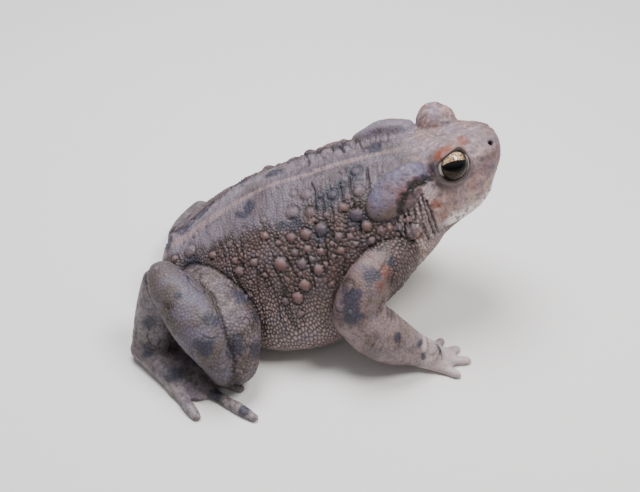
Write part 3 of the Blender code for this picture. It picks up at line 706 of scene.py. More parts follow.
# The lines that the hollow and the largest folds follow on the right side, mirrored on the left
PATCH_LINE = [(24.6, -11.3, 44.4), (21.6, -12.7, 44.3), (19.9, -14.1, 42.8)]
PATCH_LINE += [(18.0, -15.7, 40.8), (18.2, -16.3, 38.6)]
PATCH_HALF = 1.5
FOLD_HALF = 0.28
FOLD_LINES = [
    [(4.1, -6.3, 41.2), (4.4, -11.0, 39.4), (4.6, -16.0, 36.6), (4.5, -18.5, 33.9)],
    [(6.7, -5.0, 42.3), (6.6, -9.2, 40.8), (7.1, -14.0, 38.9), (8.0, -16.4, 36.3), (8.1, -18.0, 34.6)],
    [(11.3, -4.0, 43.6), (11.3, -8.8, 42.5), (10.6, -12.0, 41.0)],
    [(1.7, -11.8, 38.2), (1.6, -15.2, 36.3), (1.1, -17.9, 33.7)],
    [(-2.5, -3.7, 39.7), (-2.1, -7.6, 38.6), (-2.5, -11.5, 37.0)],
    [(17.4, -16.2, 37.7), (17.0, -17.6, 35.5), (18.0, -18.2, 33.1), (18.6, -19.9, 31.7)],
    [(19.1, -16.2, 37.6), (19.1, -17.6, 33.5)],
    [(21.2, -14.5, 40.8), (21.6, -15.4, 38.8), (21.8, -16.8, 36.4)],
    [(22.2, -13.3, 42.5), (22.9, -15.3, 39.3), (23.6, -17.6, 35.6), (25.7, -16.3, 28.9)],
    [(23.4, -13.1, 41.6), (24.2, -15.4, 39.3), (25.4, -16.5, 35.2), (27.3, -15.8, 30.1)],
    [(24.6, -14.3, 40.4), (25.9, -15.8, 37.4), (27.2, -16.4, 33.5), (28.5, -15.6, 29.9)],
    [(20.2, -15.4, 38.9), (20.2, -17.2, 35.9), (21.4, -18.6, 31.4)],
    [(-10.3, -18.8, 28.4), (-8.2, -22.6, 25.9)],
    [(3.9, -21.8, 29.8), (3.4, -23.8, 26.2)],
    [(-2.8, -13.8, 35.4), (-2.4, -16.7, 33.7), (-2.5, -19.2, 31.4)],
    [(-1.0, -17.2, 34.0), (-0.6, -19.9, 31.2), (-0.2, -22.2, 28.4)],
    [(-5.5, -19.3, 30.0), (-4.5, -22.1, 27.2), (-3.9, -24.7, 23.8)],
]
SEED_CELL = 1.14
GRANULE_SEED = 3
TRUNK_GRAIN = 0.11
FLANK_GRAIN = 0.20
LIMB_GRAIN = {"upper_arm": 0.10, "forearm": 0.09, "hand": 0.05, "thigh": 0.17, "shank": 0.12}
LIMB_GRAIN |= {"tarsus": 0.10, "foot": 0.08, "gland": 0.05, "lid": 0.045}
JOIN_DEPTHS = {"thigh": 1.0, "shank": 0.9, "tarsus": 0.7, "upper_arm": 0.7, "gland": 0.5}
FOLD_DEPTH = 0.30
DRAWN_FOLD_DEPTH = 0.15
RIDGE_HEIGHT = 0.2
WRINKLE_DEPTH = 0.10
JOIN_DEPTH = 0.45
PATCH_DEPTH = 0.45
PIT_DEPTH = 0.12
GLAND_LUMPS = 0.12
CHIN_BACK = 2.3
THROAT_NARROWING = 0.11
FLOOR_GAP = 0.01

x, y, z = points.T
flank = trunk * step(over + 7 * noise_at(points, 7, 4.2), 71, 56)
flank *= step(x - 9 * step(over, 8, -12), 27, 20)
arm_top = np.maximum(step(0.743 * z - 0.665 * np.abs(y), 8.4, 10.0), step(x, 13.4, 15.4))
arm_top *= on["upper_arm"]
flank = np.clip(flank + arm_top, 0, 1)
flank_paving = np.clip(flank * step(over, -45, -15) + 0.35 * flank, 0, 1)
squeezed = points - ROW_STRETCH * (points @ ROW_WAY)[:, None] * ROW_WAY
seeds = []
rng = np.random.default_rng(GRANULE_SEED)
on_flank = flank > 0.5
low_flank = on_flank & (z < LOW_BELOW)
kinds = [(FLANK_GRANULE, on_flank & ~low_flank), (LOW_GRANULE, low_flank), (FINE_GRANULE, ~on_flank)]
for spacing, wanted in kinds:
    shuffled = rng.permutation(np.flatnonzero(wanted))
    cells = np.floor(squeezed[shuffled] / (spacing * SEED_CELL)).astype(np.int64)
    _, first_in_cell = np.unique(cells, axis=0, return_index=True)
    seeds.append(squeezed[shuffled[first_in_cell]])
seeds = np.concatenate(seeds)


def seed_tree(places):
    made = kdtree.KDTree(len(places))
    for i, place in enumerate(places.tolist()):
        made.insert(place, i)
    made.balance()
    return made


some = squeezed[::5]
for _ in range(3):
    made = seed_tree(seeds)
    own = np.array([made.find(p)[1] for p in some.tolist()])
    size = np.bincount(own, minlength=len(seeds))
    middles = np.stack([np.bincount(own, some[:, k], len(seeds)) for k in range(3)], 1)
    seeds = np.where(size[:, None] > 0, middles / np.maximum(size, 1)[:, None], seeds)
made = seed_tree(seeds)
pairs = [made.find_n(p, 2) for p in squeezed.tolist()]
own, other = [np.array([pair[k][1] for pair in pairs]) for k in (0, 1)]
near_gap, far_gap = [np.array([pair[k][2] for pair in pairs]) for k in (0, 1)]
apart = np.linalg.norm(seeds[own] - seeds[other], axis=1)
from_edge = (far_gap**2 - near_gap**2) / (2 * np.maximum(apart, 0.05))
granule_size = np.where(on_flank & ~low_flank, FLANK_GRANULE, FINE_GRANULE)
share = np.clip(from_edge / (0.46 * granule_size), 0, 1)
granule = 1 - (1 - share) ** 2.2
lift = rng.uniform(0.6, 1.25, len(seeds))[own]
granule_tint = rng.uniform(0, 1, len(seeds))[own]

grain = TRUNK_GRAIN * trunk + FLANK_GRAIN * flank_paving
for name, tallest in LIMB_GRAIN.items():
    grain += tallest * on[name]
grain *= 1 - 0.55 * step(x, 24, 30) * trunk
grain *= (1 - 0.9 * wart) * (1 - lower_lid)


def from_lines(lines):
    """How far each point of the skin is, along it, from lines drawn on the right side or mirrored."""
    to_right = np.stack([np.ones(count), np.where(y > 0, -1.0, 1.0), np.ones(count)], 1)
    here = bent_a_little * to_right
    outward = normals_of(points) * to_right
    nearest = np.full(count, 99.0)
    for line in lines:
        for start, end in zip(line, line[1:]):
            run = np.subtract(end, start)
            share = np.clip((here - start) @ run / (run @ run), 0, 1)
            off = here - start - share[:, None] * run
            rise = (off * outward).sum(1)
            across = np.linalg.norm(off - rise[:, None] * outward, axis=1)
            nearest = np.where(np.abs(rise) < 2, np.minimum(nearest, across), nearest)
    return nearest


def creases(where, size, width, seed):
    """Thin wandering lines, 1 along their middles, where smooth noise of that size crosses zero."""
    return bell(noise_at(where, size, seed), width)


shoulder = trunk * step(x, -7, 1) * step(x, 21, 17) * step(over, 22, 40) * step(over, 86, 77)
neck = trunk * step(x, 16.5, 19.5) * step(x, 32, 28) * step(over, -45, -28) * step(over, 52, 42)
rear = flank * step(x, -4, -12) * step(over, -10, 5)
bent = points + np.stack([0.7 * noise_at(points, 5, 9.1), np.zeros(count), np.zeros(count)], 1)
bent_a_little = points + 0.3 * np.stack([noise_at(points, 2.2, seed) for seed in (3.1, 6.4, 8.2)], 1)
drawn_folds = bell(from_lines(FOLD_LINES), FOLD_HALF)
drawn_folds *= 0.85 + 0.3 * noise_at(points, 3, 2.6)
drawn_folds *= 1 - on["gland"]
shoulder_folds = 0.5 * shoulder * creases(bent, (2.2, 24, 20), 0.11, 1.7)
leaning = np.stack([bent[:, 0] + 0.5 * z, y, z], 1)
neck_noise = noise_at(leaning, (1.05, 8, 8), 5.3)
neck_folds = 0.3 * neck * bell(neck_noise, 0.15)
ridges = neck * (0.5 + 0.5 * step(np.abs(neck_noise), 0.1, 0.35)) * (1 - drawn_folds)
ridges *= 1 - has_mouth * step(from_mouth, -0.3, 0.3)
rear_folds = rear * creases(np.stack([bent[:, 0] + 0.37 * z, y, z], 1), (2.4, 18, 18), 0.10, 2.9)
folds = np.clip(drawn_folds + shoulder_folds + neck_folds + 0.7 * rear_folds, 0, 1) * (1 - 0.85 * wart)
arm_ways = np.array(((0.78, 0, -0.62), (0, 1, 0), (0.62, 0, 0.78)))
leg_ways = np.array(((-0.54, 0.65, 0.54), (0.77, 0.64, 0), (0.35, -0.41, 0.84)))
arms = np.clip(on["upper_arm"] + on["forearm"], 0, 1)
legs = np.clip(on["thigh"] + on["shank"] + on["tarsus"], 0, 1)
wrinkles = arms * creases(points @ arm_ways.T, (2.0, 9, 9), 0.09, 4.4)
wrinkles += legs * creases(points @ leg_ways.T, (9, 2.0, 2.0), 0.10, 4.4)
wrinkles *= step(noise_at(points, 6, 1.1), -0.1, 0.25)
wrinkles += 0.5 * (1 - 0.7 * head) * trunk * step(over, 50, 66) * creases(points, (1.3, 5, 5), 0.16, 8.4)
joins = np.zeros(count)
for name, strength in JOIN_DEPTHS.items():
    inside = spread((piece_of == PIECES.index(name)).astype(float), 24)
    join = strength * (4 * inside * (1 - inside)) ** 4
    joins = np.maximum(joins, join * step(x, 22, 18) * step(y, 8, 4) if name == "gland" else join)
joins *= step(on["hand"] + on["foot"], 0.3, 0.0)
joins *= 1 - step(on["forearm"], 0.05, 0.3)

lumps = 0.28 * noise_at(points, 8, 3.3) + 0.10 * noise_at(points, 2.6, 6.1) * (1 - wart)
lumps *= (1 - 0.6 * on["lid"]) * (1 - 0.6 * step(x, 24, 30) * trunk) * step(z, 0.5, 3)
# The hollow behind the gland: carved into the skin here, and coloured with dark painted shade below
shaded_hollow = step(from_lines([PATCH_LINE]) / PATCH_HALF + 0.55 * noise_at(points, 1.5, 8.8), 1.2, 0.3)
pits = on["gland"] * step(noise_at(points, 0.85, 6.2), 0.3, 0.5)
on_head = head * (1 - lower_lid) * step(z, 33, 36)
lumps += on_head * (0.15 * noise_at(points, 1.7, 2.7) + 0.11 * noise_at(points, (2.4, 0.9, 0.9), 4.9))
depth = grain * granule * lift - FOLD_DEPTH * folds - DRAWN_FOLD_DEPTH * drawn_folds * (1 - wart)
depth = depth + lumps + RIDGE_HEIGHT * ridges
depth -= WRINKLE_DEPTH * wrinkles + JOIN_DEPTH * joins + PATCH_DEPTH * shaded_hollow + PIT_DEPTH * pits
depth += GLAND_LUMPS * on["gland"] * noise_at(points, 1.5, 7.9)
points += normals_of(points) * depth[:, None]
points[:, 0] -= CHIN_BACK * trunk * step(x, 37, 46.5) * step(z, 48.5, 36.5)
under_jaw = trunk * step(x, 24, 31) * step(from_mouth, 0.1, -1.6) * step(z, 22, 26)
points[:, 1] *= 1 - THROAT_NARROWING * under_jaw
points[:, 2] = np.maximum(points[:, 2], FLOOR_GAP)
x, y, z = points.T

# Skin
# Dry warty skin with a faint sheen: greyish lavender-brown above with a thin pale line down the
# middle, dark brown on the flanks, with blue-grey blotches, rusty spots, and a whitish lip. Painted
# shade darkens the grooves between the granules, the folds, the moats, the hollow behind the gland,
# the nostrils and the lower legs, and painted light pales the left side of the back. Where each
# marking lies is worked out here for each point, and its colours below.

# A blotch: its place and radius
BLOTCHES = [
    (25.8, -11.0, 48.2, 1.1), (-18.5, -3.4, 33.5, 1.8), (-20.6, -4.6, 31.6, 1.4),
    (0.2, -9.8, 38.6, 2.3), (2.0, -8.9, 40.0, 2.5), (4.9, -7.1, 41.4, 2.0), (8.3, -4.7, 43.2, 2.5),
    (7.3, -15.8, 37.3, 2.0), (-7.7, -12.2, 34.5, 1.7), (7.9, 12.0, 39.8, 1.9),
    (1.2, 11.4, 38.0, 1.9), (-1.4, -16.4, 33.9, 1.9), (-4.6, -14.4, 34.0, 1.2),
    (-10.5, -12.5, 34.0, 1.3), (-33.2, -9.0, 20.6, 2.2), (-35.4, -7.6, 19.6, 1.4),
    (-30.4, 7.6, 24.0, 3.2), (-36.0, 5.0, 21.1, 2.7), (-40.2, 1.4, 18.2, 2.0),
    (-11.2, 6.4, 36.1, 2.4), (14.2, 3.1, 44.5, 2.6), (-22.3, -23.5, 21.2, 2.6),
    (-19.6, -27.0, 17.0, 1.9), (-24.1, -34.8, 16.3, 2.5), (-20.4, -33.6, 13.0, 2.0),
    (-31.7, -36.1, 17.5, 2.2), (-29.4, -31.2, 21.8, 1.6), (-36.9, -25.4, 24.6, 1.2),
    (-45.2, -21.7, 13.6, 1.8), (-47.6, -25.0, 6.0, 1.8), (4.4, -30.2, 25.1, 2.5),
    (4.2, -31.6, 23.0, 2.4), (4.6, -33.2, 20.8, 2.1), (9.3, -26.8, 29.1, 2.0),
    (8.6, -28.4, 26.6, 1.2), (14.9, -24.8, 30.6, 1.4), (15.6, -34.0, 13.6, 1.5),
    (21.4, -32.6, 9.6, 1.1), (22.2, -34.4, 7.0, 1.1), (27.6, -31.4, 5.4, 1.4),
    (-30.2, -38.3, 1.7, 2.3), (-23.5, -43.6, 2.0, 1.5), (-40.5, -30.9, 3.4, 2.4),
    (-3.0, 14.0, 35.0, 2.2), (6.0, 9.0, 40.5, 2.2), (-20.0, 12.0, 29.5, 2.2),
    (-24.0, 22.0, 20.0, 2.6), (5.0, 30.0, 23.0, 2.8), (14.0, 33.5, 14.0, 2.0),
]
# A rusty spot: its place, radius and strength
RUST_SPOTS = [
    (27.4, -10.2, 51.2, 1.8, 1.0), (29.2, -9.8, 51.8, 1.6, 0.9), (33.4, -6.6, 51.4, 1.4, 0.7),
    (35.4, -2.6, 49.4, 1.9, 0.75), (44.2, -4.8, 46.8, 1.2, 0.4), (27.0, -15.2, 39.6, 1.6, 0.75),
    (29.2, -15.4, 36.0, 1.5, 0.4), (22.7, -17.6, 32.2, 1.6, 0.7), (13.2, -27.0, 29.5, 1.7, 0.6),
    (11.7, -29.3, 27.5, 1.4, 0.55), (12.6, -30.8, 25.4, 1.1, 0.4), (22.4, -12.0, 44.6, 1.7, 0.4),
    (18.6, -14.3, 42.4, 1.8, 0.35), (15.0, -17.2, 38.8, 2.0, 0.1), (-11.8, -19.6, 27.0, 1.2, 0.45),
    (27.2, 10.8, 51.3, 1.2, 0.9), (27.0, 15.2, 39.6, 1.6, 0.7), (13.2, 27.0, 29.5, 1.7, 0.7),
    (20.6, 12.3, 45.3, 2.4, 0.5),
]
SKIN_SHEEN = 0.4
PORE_SIZE = 0.42
PORE_DEPTH = 0.12
PORE_STRENGTH = 0.5

ragged = 0.5 * noise_at(points, 1.9, 8.8) + 0.35 * noise_at(points, 0.8, 2.4)
bends = [noise_at(points, 3.1, seed) for seed in (1.3, 5.8, 9.4)]
warped = points + 1.1 * np.stack(bends, 1)
blotch = np.zeros(count)
for bx, by, bz, radius in BLOTCHES:
    share = np.linalg.norm(warped - (bx, by, bz), axis=1) / radius
    blotch = np.maximum(blotch, step(share + 0.7 * ragged, 1.4, 0.6))
blotch *= np.clip(0.95 + 0.5 * ragged, 0.5, 1)
rust = np.zeros(count)
for bx, by, bz, radius, strength in RUST_SPOTS:
    share = np.linalg.norm(0.5 * (warped + points) - (bx, by, bz), axis=1) / radius
    rust = np.maximum(rust, strength * step(share + 0.4 * ragged, 1.4, 0.4))
pale_lip = has_mouth * step(from_mouth, -0.4, 0.4) * step(from_mouth + 1.6 * ragged, 4.6, 1.8)
pale_lip *= step(x, 27, 32) * (1 - 0.7 * step(noise_at(points, 1.7, 4.1), -0.1, 0.3) * step(x, 37, 40))
mauve = head * step(noise_at(points, 3.6, 7.2), -0.1, 0.45) * step(z, 48, 44) * step(x, 26, 30)
veins = head * step(np.abs(noise_at(warped, (3.2, 2.0, 2.0), 3.1)), 0.22, 0.05) * step(z, 44, 47)
wrist = on["forearm"] * step(x + 1.5 * ragged, 20.8, 23.8)
dots = step(from_edge / granule_size, 0.3, 0.5) * np.clip(ridges + flank * step(x, 8, 14), 0, 1)
beads = step(from_edge / granule_size, 0.12, 0.34)
# Painted shade: the skin is coloured darker down between the granules, along the folds and wrinkles, and
# where the limbs and glands join the body
crease_shade = (1 - granule) ** 1.5 * np.clip(grain / 0.2, 0, 1) * (1 - 0.75 * neck) + 0.95 * folds
crease_shade = np.clip(crease_shade + 0.6 * wrinkles + 0.75 * joins, 0, 1)
stripe_half = 0.75 + 0.9 * step(x, -14, -34)
stripe = trunk * step(np.abs(y + 0.3 * noise_at(points, 5, 7.7)) / stripe_half, 1.5, 0.4)
stripe *= step(over, 0, 30) * (0.8 - 0.5 * step(x, 12, 24)) * (1 + 0.4 * ragged)

marks = {
    "flank": flank * (1 - 0.3 * step(x, 12, 20)),
    "arm": on["upper_arm"] + on["forearm"] - arm_top - wrist,
    "hand": on["hand"] + wrist,
    "mauve": mauve,
    "cheek": head * step(z, 47, 43) * step(x, 24, 28),
    "snout": head * step(x, 37, 42) * step(z, 44, 47),
    "lower_arm": on["forearm"],
    "rear": trunk * step(x, -12, -28) * step(over, 35, 60),
    "gland_low": on["gland"] * step(z + 1.2 * ragged, 41.8, 39.6),
    "gland_red": on["gland"] * step(np.abs(y) + 1.5 * ragged, 11.0, 13.4) * step(x, 12.5, 15.5),
    "pits": pits,
    "far_gland": on["gland"] * step(y, 0, 3) * step(over, 40, 60),
    "ink": blotch * (1 - 0.6 * wart) * trunk * step(y, 1, -1) * step(z, 33, 36) * step(x, 11, 7),
    "veins": veins,
    "ridge": np.clip(ridges * granule, 0, 1),
    "dots": dots,
    "low": (trunk + 0.4 * on["thigh"]) * step(z, 27, 14) * (0.3 + 0.7 * beads),
    # Painted shade: darker towards the bottom of the legs and over the rear of the feet
    "under": legs * step(z + 2 * ragged, 15, 5) + on["foot"] * step(x, -38, -42) * step(z, 2, 4),
    # Painted light: the left side of the back is coloured paler, as if lit from that side
    "far": trunk * step(y, 1.0, 5.0) * step(over, 30, 50),
    "thigh": on["thigh"],
    "shank": on["shank"],
    "foot": on["tarsus"] + on["foot"],
    "head": head,
    "gland": on["gland"],
    "throat": trunk * step(from_mouth, 0.3, -0.8) * step(x, 18, 26) + trunk * step(over, -25, -50),
    "lip": pale_lip,
    "stripe": stripe,
    "blotch": blotch,
    "rust": rust,
    # The hollow behind the gland, for its dark painted shade
    "shaded_hollow": shaded_hollow,
    "wart": wart * (1 - 0.5 * on["gland"]),
    # Painted shade in the shallow moat round each wart, stronger on the flanks
    "moat": np.clip(moat, 0, 1) * (0.3 + 0.7 * flank),
    # Painted shade in the grooves between the granules and in the folds, wrinkles and joins
    "crease_shade": crease_shade,
    "lid_edge": lid_edge * (1 - 0.5 * lower_lid),
    "lower_lid": lower_lid,
    # Painted shade: the nostrils' openings coloured nearly black
    "nostril": nostril_hole,
    "warmth": wart_warmth,
    "granule_tint": granule_tint,
    "lavender": step(noise_at(points, 4.5, 2.2) + 0.4 * noise_at(points, 1.7, 6.6), -0.05, 0.45)
    * (1 - arm_top),
    "olive": step(noise_at(points, 5.5, 9.9) + 0.4 * noise_at(points, 1.9, 3.6), 0.0, 0.5),
}


def add_mark(mesh, name, values):
    """Keeps a value for each point of a mesh, for its material to read."""
    layer = mesh.attributes.new(name, "FLOAT", "POINT")
    layer.data.foreach_set("value", np.asarray(values, np.float32))


for name, values in marks.items():
    add_mark(skin_mesh, name, np.clip(values, 0, 1))


def from_srgb(*levels):
    """A colour as Blender mixes it, from the 0 to 255 levels that a screen shows."""
    linear = [(c / 255 / 12.92) if c <= 10 else ((c / 255 + 0.055) / 1.055) ** 2.4 for c in levels]
    return (*linear, 1.0)


skin_material = plain_material("warty_skin", (0.3, 0.26, 0.25), 0.6)
nodes = skin_material.node_tree.nodes
wires = skin_material.node_tree.links
shader = nodes["Principled BSDF"]


def mark(name):
    """The output that gives one mark's strength over the surface."""
    node = nodes.new("ShaderNodeAttribute")
    node.attribute_name = name
    return node.outputs["Fac"]


mottle_group = bpy.data.node_groups.new("mottle", "ShaderNodeTree")
for name in ("Scale", "Detail", "Seed"):
    mottle_group.interface.new_socket(name=name, in_out="INPUT", socket_type="NodeSocketFloat")
mottle_group.interface.new_socket(name="Mottle", in_out="OUTPUT", socket_type="NodeSocketFloat")
given, put_out, place, cloud = [
    mottle_group.nodes.new(kind)
    for kind in ("NodeGroupInput", "NodeGroupOutput", "ShaderNodeTexCoord", "ShaderNodeTexNoise")
]
cloud.noise_dimensions = "4D"
mottle_group.links.new(place.outputs["Object"], cloud.inputs["Vector"])
for name, socket in (("Scale", "Scale"), ("Detail", "Detail"), ("Seed", "W")):
    mottle_group.links.new(given.outputs[name], cloud.inputs[socket])
mottle_group.links.new(cloud.outputs["Fac"], put_out.inputs["Mottle"])


def mottle(size, detail=3.0, seed=0.0):
    """Noise from 0 to 1 over the surface, in patches of about this many millimetres."""
    node = nodes.new("ShaderNodeGroup")
    node.node_tree = mottle_group
    node.inputs["Scale"].default_value = 1 / (size * MM)
    node.inputs["Detail"].default_value = detail
    node.inputs["Seed"].default_value = seed
    return node.outputs["Mottle"]


def worked(operation, a, b, clamped=True):
    """One sum on values, each an output or a number."""
    node = nodes.new("ShaderNodeMath")
    node.operation = operation
    node.use_clamp = clamped
    for socket, value in zip(node.inputs, (a, b)):
        if isinstance(value, (int, float)):
            socket.default_value = value
        else:
            wires.new(value, socket)
    return node.outputs[0]


def ramped(value, low, high):
    """A value as 0 up to low, rising smoothly to 1 at high."""
    node = nodes.new("ShaderNodeMapRange")
    node.interpolation_type = "SMOOTHSTEP"
    node.inputs["From Min"].default_value = low
    node.inputs["From Max"].default_value = high
    wires.new(value, node.inputs["Value"])
    return node.outputs["Result"]


def laid_over(ground, colour, mask):
    """A colour laid over another where the mask says, each colour an output or a plain one."""
    node = nodes.new("ShaderNodeMix")
    node.data_type = "RGBA"
    for socket, value in ((node.inputs[6], ground), (node.inputs[7], colour)):
        if isinstance(value, tuple):
            socket.default_value = value
        else:
            wires.new(value, socket)
    wires.new(mask, node.inputs["Factor"])
    return node.outputs[2]


def scaled(mask, share):
    """A mask at a share of its strength."""
    return worked("MULTIPLY", mask, share)


# The tones below were judged in cool daylight, and these shares set them to plain light
DAYLIGHT_TO_PLAIN = (0.89, 0.83, 0.76, 1.0)


def skin_tone(levels):
    """A colour of the skin from its levels in cool daylight, as it is in plain light."""
    return tuple(c * share for c, share in zip(from_srgb(*levels), DAYLIGHT_TO_PLAIN))


def coated(ground, *coats):
    """A colour under coats, each a tone or colour, a mark's name or mask, and how much it shows."""
    ground = skin_tone(ground) if isinstance(ground, tuple) else ground
    for tone, mask, share in coats:
        tone = skin_tone(tone) if isinstance(tone, tuple) else tone
        mask = mark(mask) if isinstance(mask, str) else mask
        ground = laid_over(ground, tone, mask if share == 1 else scaled(mask, share))
    return ground


broad, fine, specks = mottle(6, 4), mottle(1.4, 4, 3.0), mottle(0.45, 2, 7.0)
patchy = ramped(broad, 0.36, 0.66)
back = coated(
    (112, 105, 120),
    ((92, 83, 92), patchy, 1),
    ((76, 68, 76), ramped(mottle(1.6, 3, 6.0), 0.52, 0.7), 0.5),
    # Painted light on the left side of the back
    ((142, 137, 152), "far", 0.7),
    ((148, 143, 160), "rear", 0.5),
)
sides = coated((66, 51, 50), ((102, 82, 82), "granule_tint", 1), ((184, 168, 174), "low", 0.8))
arm = coated(
    (118, 99, 97),
    ((136, 120, 124), patchy, 1),
    ((152, 138, 144), "lower_arm", 0.65),
    ((84, 71, 73), ramped(fine, 0.5, 0.66), 0.45),
    ((86, 75, 76), ramped(mottle(2.8, 3, 2.0), 0.5, 0.6), 0.45),
)
thigh = coated((80, 72, 78), ((124, 112, 116), "granule_tint", 1))
shank = coated((104, 101, 122), ((90, 83, 84), patchy, 1))
foot = coated((150, 144, 152), ((112, 107, 114), ramped(fine, 0.4, 0.65), 1))
crown = coated(
    (134, 125, 140),
    ((146, 120, 118), patchy, 1),
    ((192, 166, 162), "cheek", 0.7),
    ((190, 163, 166), "veins", 0.65),
    ((124, 94, 104), "mauve", 0.6),
    ((94, 80, 90), ramped(mottle(1.1, 3, 4.0), 0.46, 0.64), 0.65),
    ((108, 94, 102), "snout", 0.55),
)
gland = coated(
    (98, 96, 130),
    ((92, 84, 106), patchy, 1),
    ((132, 128, 152), ramped(fine, 0.5, 0.32), 0.5),
    ((118, 90, 94), "gland_red", 0.6),
    ((98, 85, 80), "gland_low", 0.8),
    ((78, 68, 84), ramped(fine, 0.5, 0.68), 0.6),
    ((70, 64, 86), "pits", 0.6),
    ((134, 127, 140), "far_gland", 0.6),
)
throat = coated((130, 112, 106), ((154, 137, 132), ramped(fine, 0.4, 0.7), 1))
lip = coated((252, 248, 252), ((128, 118, 124), ramped(mottle(0.9, 3, 9.0), 0.48, 0.64), 1))
dome = coated(
    (92, 80, 90),
    ((118, 92, 92), "warmth", 1),
    ((104, 95, 108), worked("SUBTRACT", 0.8, mark("flank")), 1),
)
colour = coated(
    back,
    (sides, "flank", 1),
    (arm, "arm", 1),
    ((200, 188, 196), "hand", 1),
    (thigh, "thigh", 1),
    (shank, "shank", 1),
    (foot, "foot", 1),
    # Painted shade low on the legs and over the rear of the feet
    ((62, 55, 58), "under", 0.5),
    (crown, "head", 1),
    (gland, "gland", 1),
    (throat, "throat", 1),
    ((112, 108, 130), "lavender", 0.36),
    ((84, 74, 62), "olive", 0.34),
    ((212, 194, 198), "ridge", 0.85),
    (lip, "lip", 0.85),
    ((154, 137, 144), "stripe", 1),
    ((54, 56, 76), "blotch", 0.9),
    # Painted shade in the moats round the warts
    ((40, 34, 34), "moat", 0.7),
    (dome, "wart", 0.75),
    ((60, 61, 80), "blotch", 0.65),
    ((27, 31, 46), "ink", 0.7),
    ((128, 64, 38), "rust", 0.9),
    # Painted shade in the hollow behind the gland
    ((24, 23, 22), "shaded_hollow", 0.95),
    # Painted shade in the grooves between the granules and in the folds, wrinkles and joins
    ((26, 20, 20), "crease_shade", 0.9),
    ((178, 164, 160), "dots", 0.5),
    ((44, 38, 40), ramped(specks, 0.6, 0.74), 0.45),
    ((164, 150, 156), ramped(specks, 0.4, 0.28), 0.3),
    ((88, 79, 84), "lower_lid", 0.75),
    ((46, 40, 42), "lid_edge", 0.85),
    # Painted shade in the nostrils' openings
    ((8, 7, 8), "nostril", 1),
)
wires.new(colour, shader.inputs["Base Color"])
wires.new(ramped(fine, -0.6, 1.4), shader.inputs["Roughness"])
shader.inputs["Specular IOR Level"].default_value = SKIN_SHEEN

coordinates = nodes.new("ShaderNodeTexCoord")
pores = nodes.new("ShaderNodeTexVoronoi")
pores.inputs["Scale"].default_value = 1 / (PORE_SIZE * MM)
wires.new(coordinates.outputs["Object"], pores.inputs["Vector"])
relief = worked("ADD", scaled(pores.outputs["Distance"], 0.5), scaled(specks, 0.5))
bump = nodes.new("ShaderNodeBump")
bump.inputs["Strength"].default_value = PORE_STRENGTH
bump.inputs["Distance"].default_value = PORE_DEPTH * MM
wires.new(relief, bump.inputs["Height"])
wires.new(bump.outputs["Normal"], shader.inputs["Normal"])

skin = in_scene("skin", skin_mesh)
skin_mesh.vertices.foreach_set("co", ((points * MM) + np.array(HOME)).astype(np.float32).ravel())
skin_mesh.materials.clear()
skin_mesh.materials.append(skin_material)
skin_mesh.shade_smooth()
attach(skin, "root")
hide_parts(*[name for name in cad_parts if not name.startswith("eye")])

# Eyes
# Glossy eyeballs: bright flecked gold above the level black pupil, dim bronze below it, and a thin
# pale ring at the edge. They sit loose behind the edges of the lids.
EYE_RINGS = 48
EYE_SECTORS = 72
EYE_BULGE = 0.25
BULGE_WIDTH = 0.6
EYE_ROUGHNESS = 0.12
EYE_SHEEN = 0.1
COAT_ROUGHNESS = 0.03
# Ovals on the eye: half width, half height and how far up the middle is, as shares of its radius
PUPIL = (0.72, 0.3, 0.04)
IRIS = (0.80, 0.80, 0.0)
MIDDLE_BAND = (9.0, 0.5, 0.0)

eye_material = plain_material("eye_glass", (0.02, 0.018, 0.015), EYE_ROUGHNESS)
nodes = eye_material.node_tree.nodes
wires = eye_material.node_tree.links
shader = nodes["Principled BSDF"]
across, upward = mark("across"), mark("upward")


def oval(half_width, half_height, lift):
    """How far out a point of the eye is from an upright oval's middle, 1 at its edge."""
    side_on = worked("DIVIDE", across, half_width, False)
    end_on = worked("DIVIDE", worked("SUBTRACT", upward, lift, False), half_height, False)
    both = nodes.new("ShaderNodeCombineXYZ")
    wires.new(side_on, both.inputs["X"])
    wires.new(end_on, both.inputs["Y"])
    length = nodes.new("ShaderNodeVectorMath")
    length.operation = "LENGTH"
    wires.new(both.outputs[0], length.inputs[0])
    return length.outputs["Value"]


flecks = mottle(0.5, 3)
gold = laid_over(from_srgb(96, 66, 42), from_srgb(206, 178, 142), ramped(flecks, 0.38, 0.6))
bronze = laid_over(from_srgb(34, 26, 20), from_srgb(76, 62, 50), ramped(flecks, 0.4, 0.7))
gold_share = worked("MULTIPLY", ramped(upward, 0.1, 0.24), ramped(across, 0.55, 0.3))
colour = laid_over(bronze, gold, gold_share)
colour = laid_over(colour, from_srgb(6, 5, 6), ramped(oval(*PUPIL), 1.05, 0.93))
colour = laid_over(colour, from_srgb(14, 12, 12), ramped(oval(*IRIS), 0.86, 0.98))
pale_ring = worked("MULTIPLY", ramped(oval(*IRIS), 0.95, 1.0), ramped(oval(*MIDDLE_BAND), 1.1, 0.5))
colour = laid_over(colour, from_srgb(200, 192, 184), pale_ring)
wires.new(colour, shader.inputs["Base Color"])
shader.inputs["Specular IOR Level"].default_value = EYE_SHEEN
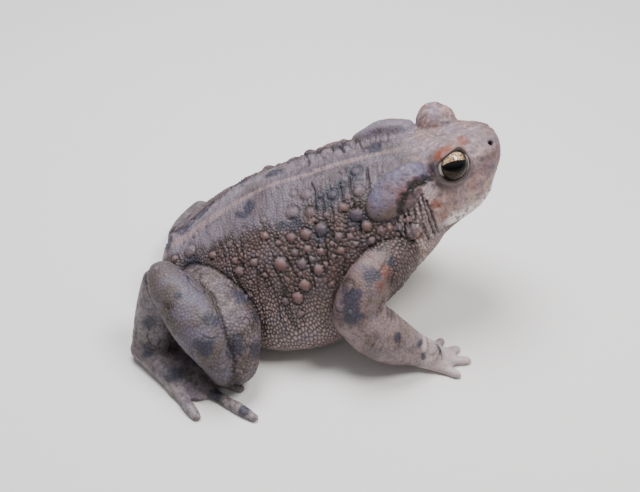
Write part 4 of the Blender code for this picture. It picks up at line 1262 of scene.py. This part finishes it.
wires.new(ramped(upward, -0.05, 0.25), shader.inputs["Coat Weight"])
shader.inputs["Coat Roughness"].default_value = COAT_ROUGHNESS

for side, name in ((1, "right"), (-1, "left")):
    looks = Vector(side_place(EYE_LOOKS, side))
    up = (Vector((0, 0, 1)) - looks * looks.z).normalized()
    ahead = up.cross(looks) * side
    eye_points, eye_faces, across_of, upward_of = [], [], [], []
    for ring in range(1, EYE_RINGS):
        off_axis = math.pi * ring / EYE_RINGS
        radius = EYE_RADIUS + EYE_BULGE * math.exp(-((off_axis / BULGE_WIDTH) ** 2))
        for turn in turns(EYE_SECTORS):
            flat = ahead * math.cos(turn) + up * math.sin(turn)
            place = looks * math.cos(off_axis) + flat * math.sin(off_axis)
            eye_points.append(at_home(Vector(side_place(EYE_CENTRE, side)) + place * radius))
            across_of.append(math.sin(off_axis) * math.cos(turn))
            upward_of.append(math.sin(off_axis) * math.sin(turn))
    for end in (1, -1):
        bulge = EYE_BULGE if end == 1 else 0
        tip = Vector(side_place(EYE_CENTRE, side)) + looks * end * (EYE_RADIUS + bulge)
        eye_points.append(at_home(tip))
        across_of.append(0)
        upward_of.append(0)
    last_ring = (EYE_RINGS - 2) * EYE_SECTORS
    for k in range(EYE_SECTORS):
        n = (k + 1) % EYE_SECTORS
        for ring in range(EYE_RINGS - 2):
            a, b = ring * EYE_SECTORS, (ring + 1) * EYE_SECTORS
            eye_faces.append((a + k, b + k, b + n, a + n))
        eye_faces.append((len(eye_points) - 2, k, n))
        eye_faces.append((len(eye_points) - 1, last_ring + n, last_ring + k))
    if side == -1:
        eye_faces = [face[::-1] for face in eye_faces]
    eye_mesh = bpy.data.meshes.new("eyeball_" + name)
    eye_mesh.from_pydata(eye_points, [], eye_faces)
    add_mark(eye_mesh, "across", across_of)
    add_mark(eye_mesh, "upward", upward_of)
    eye_mesh.materials.append(eye_material)
    eye_mesh.shade_smooth()
    eyeball = in_scene("eyeball_" + name, eye_mesh)
    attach(eyeball, "root")
    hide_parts("eye_" + name)
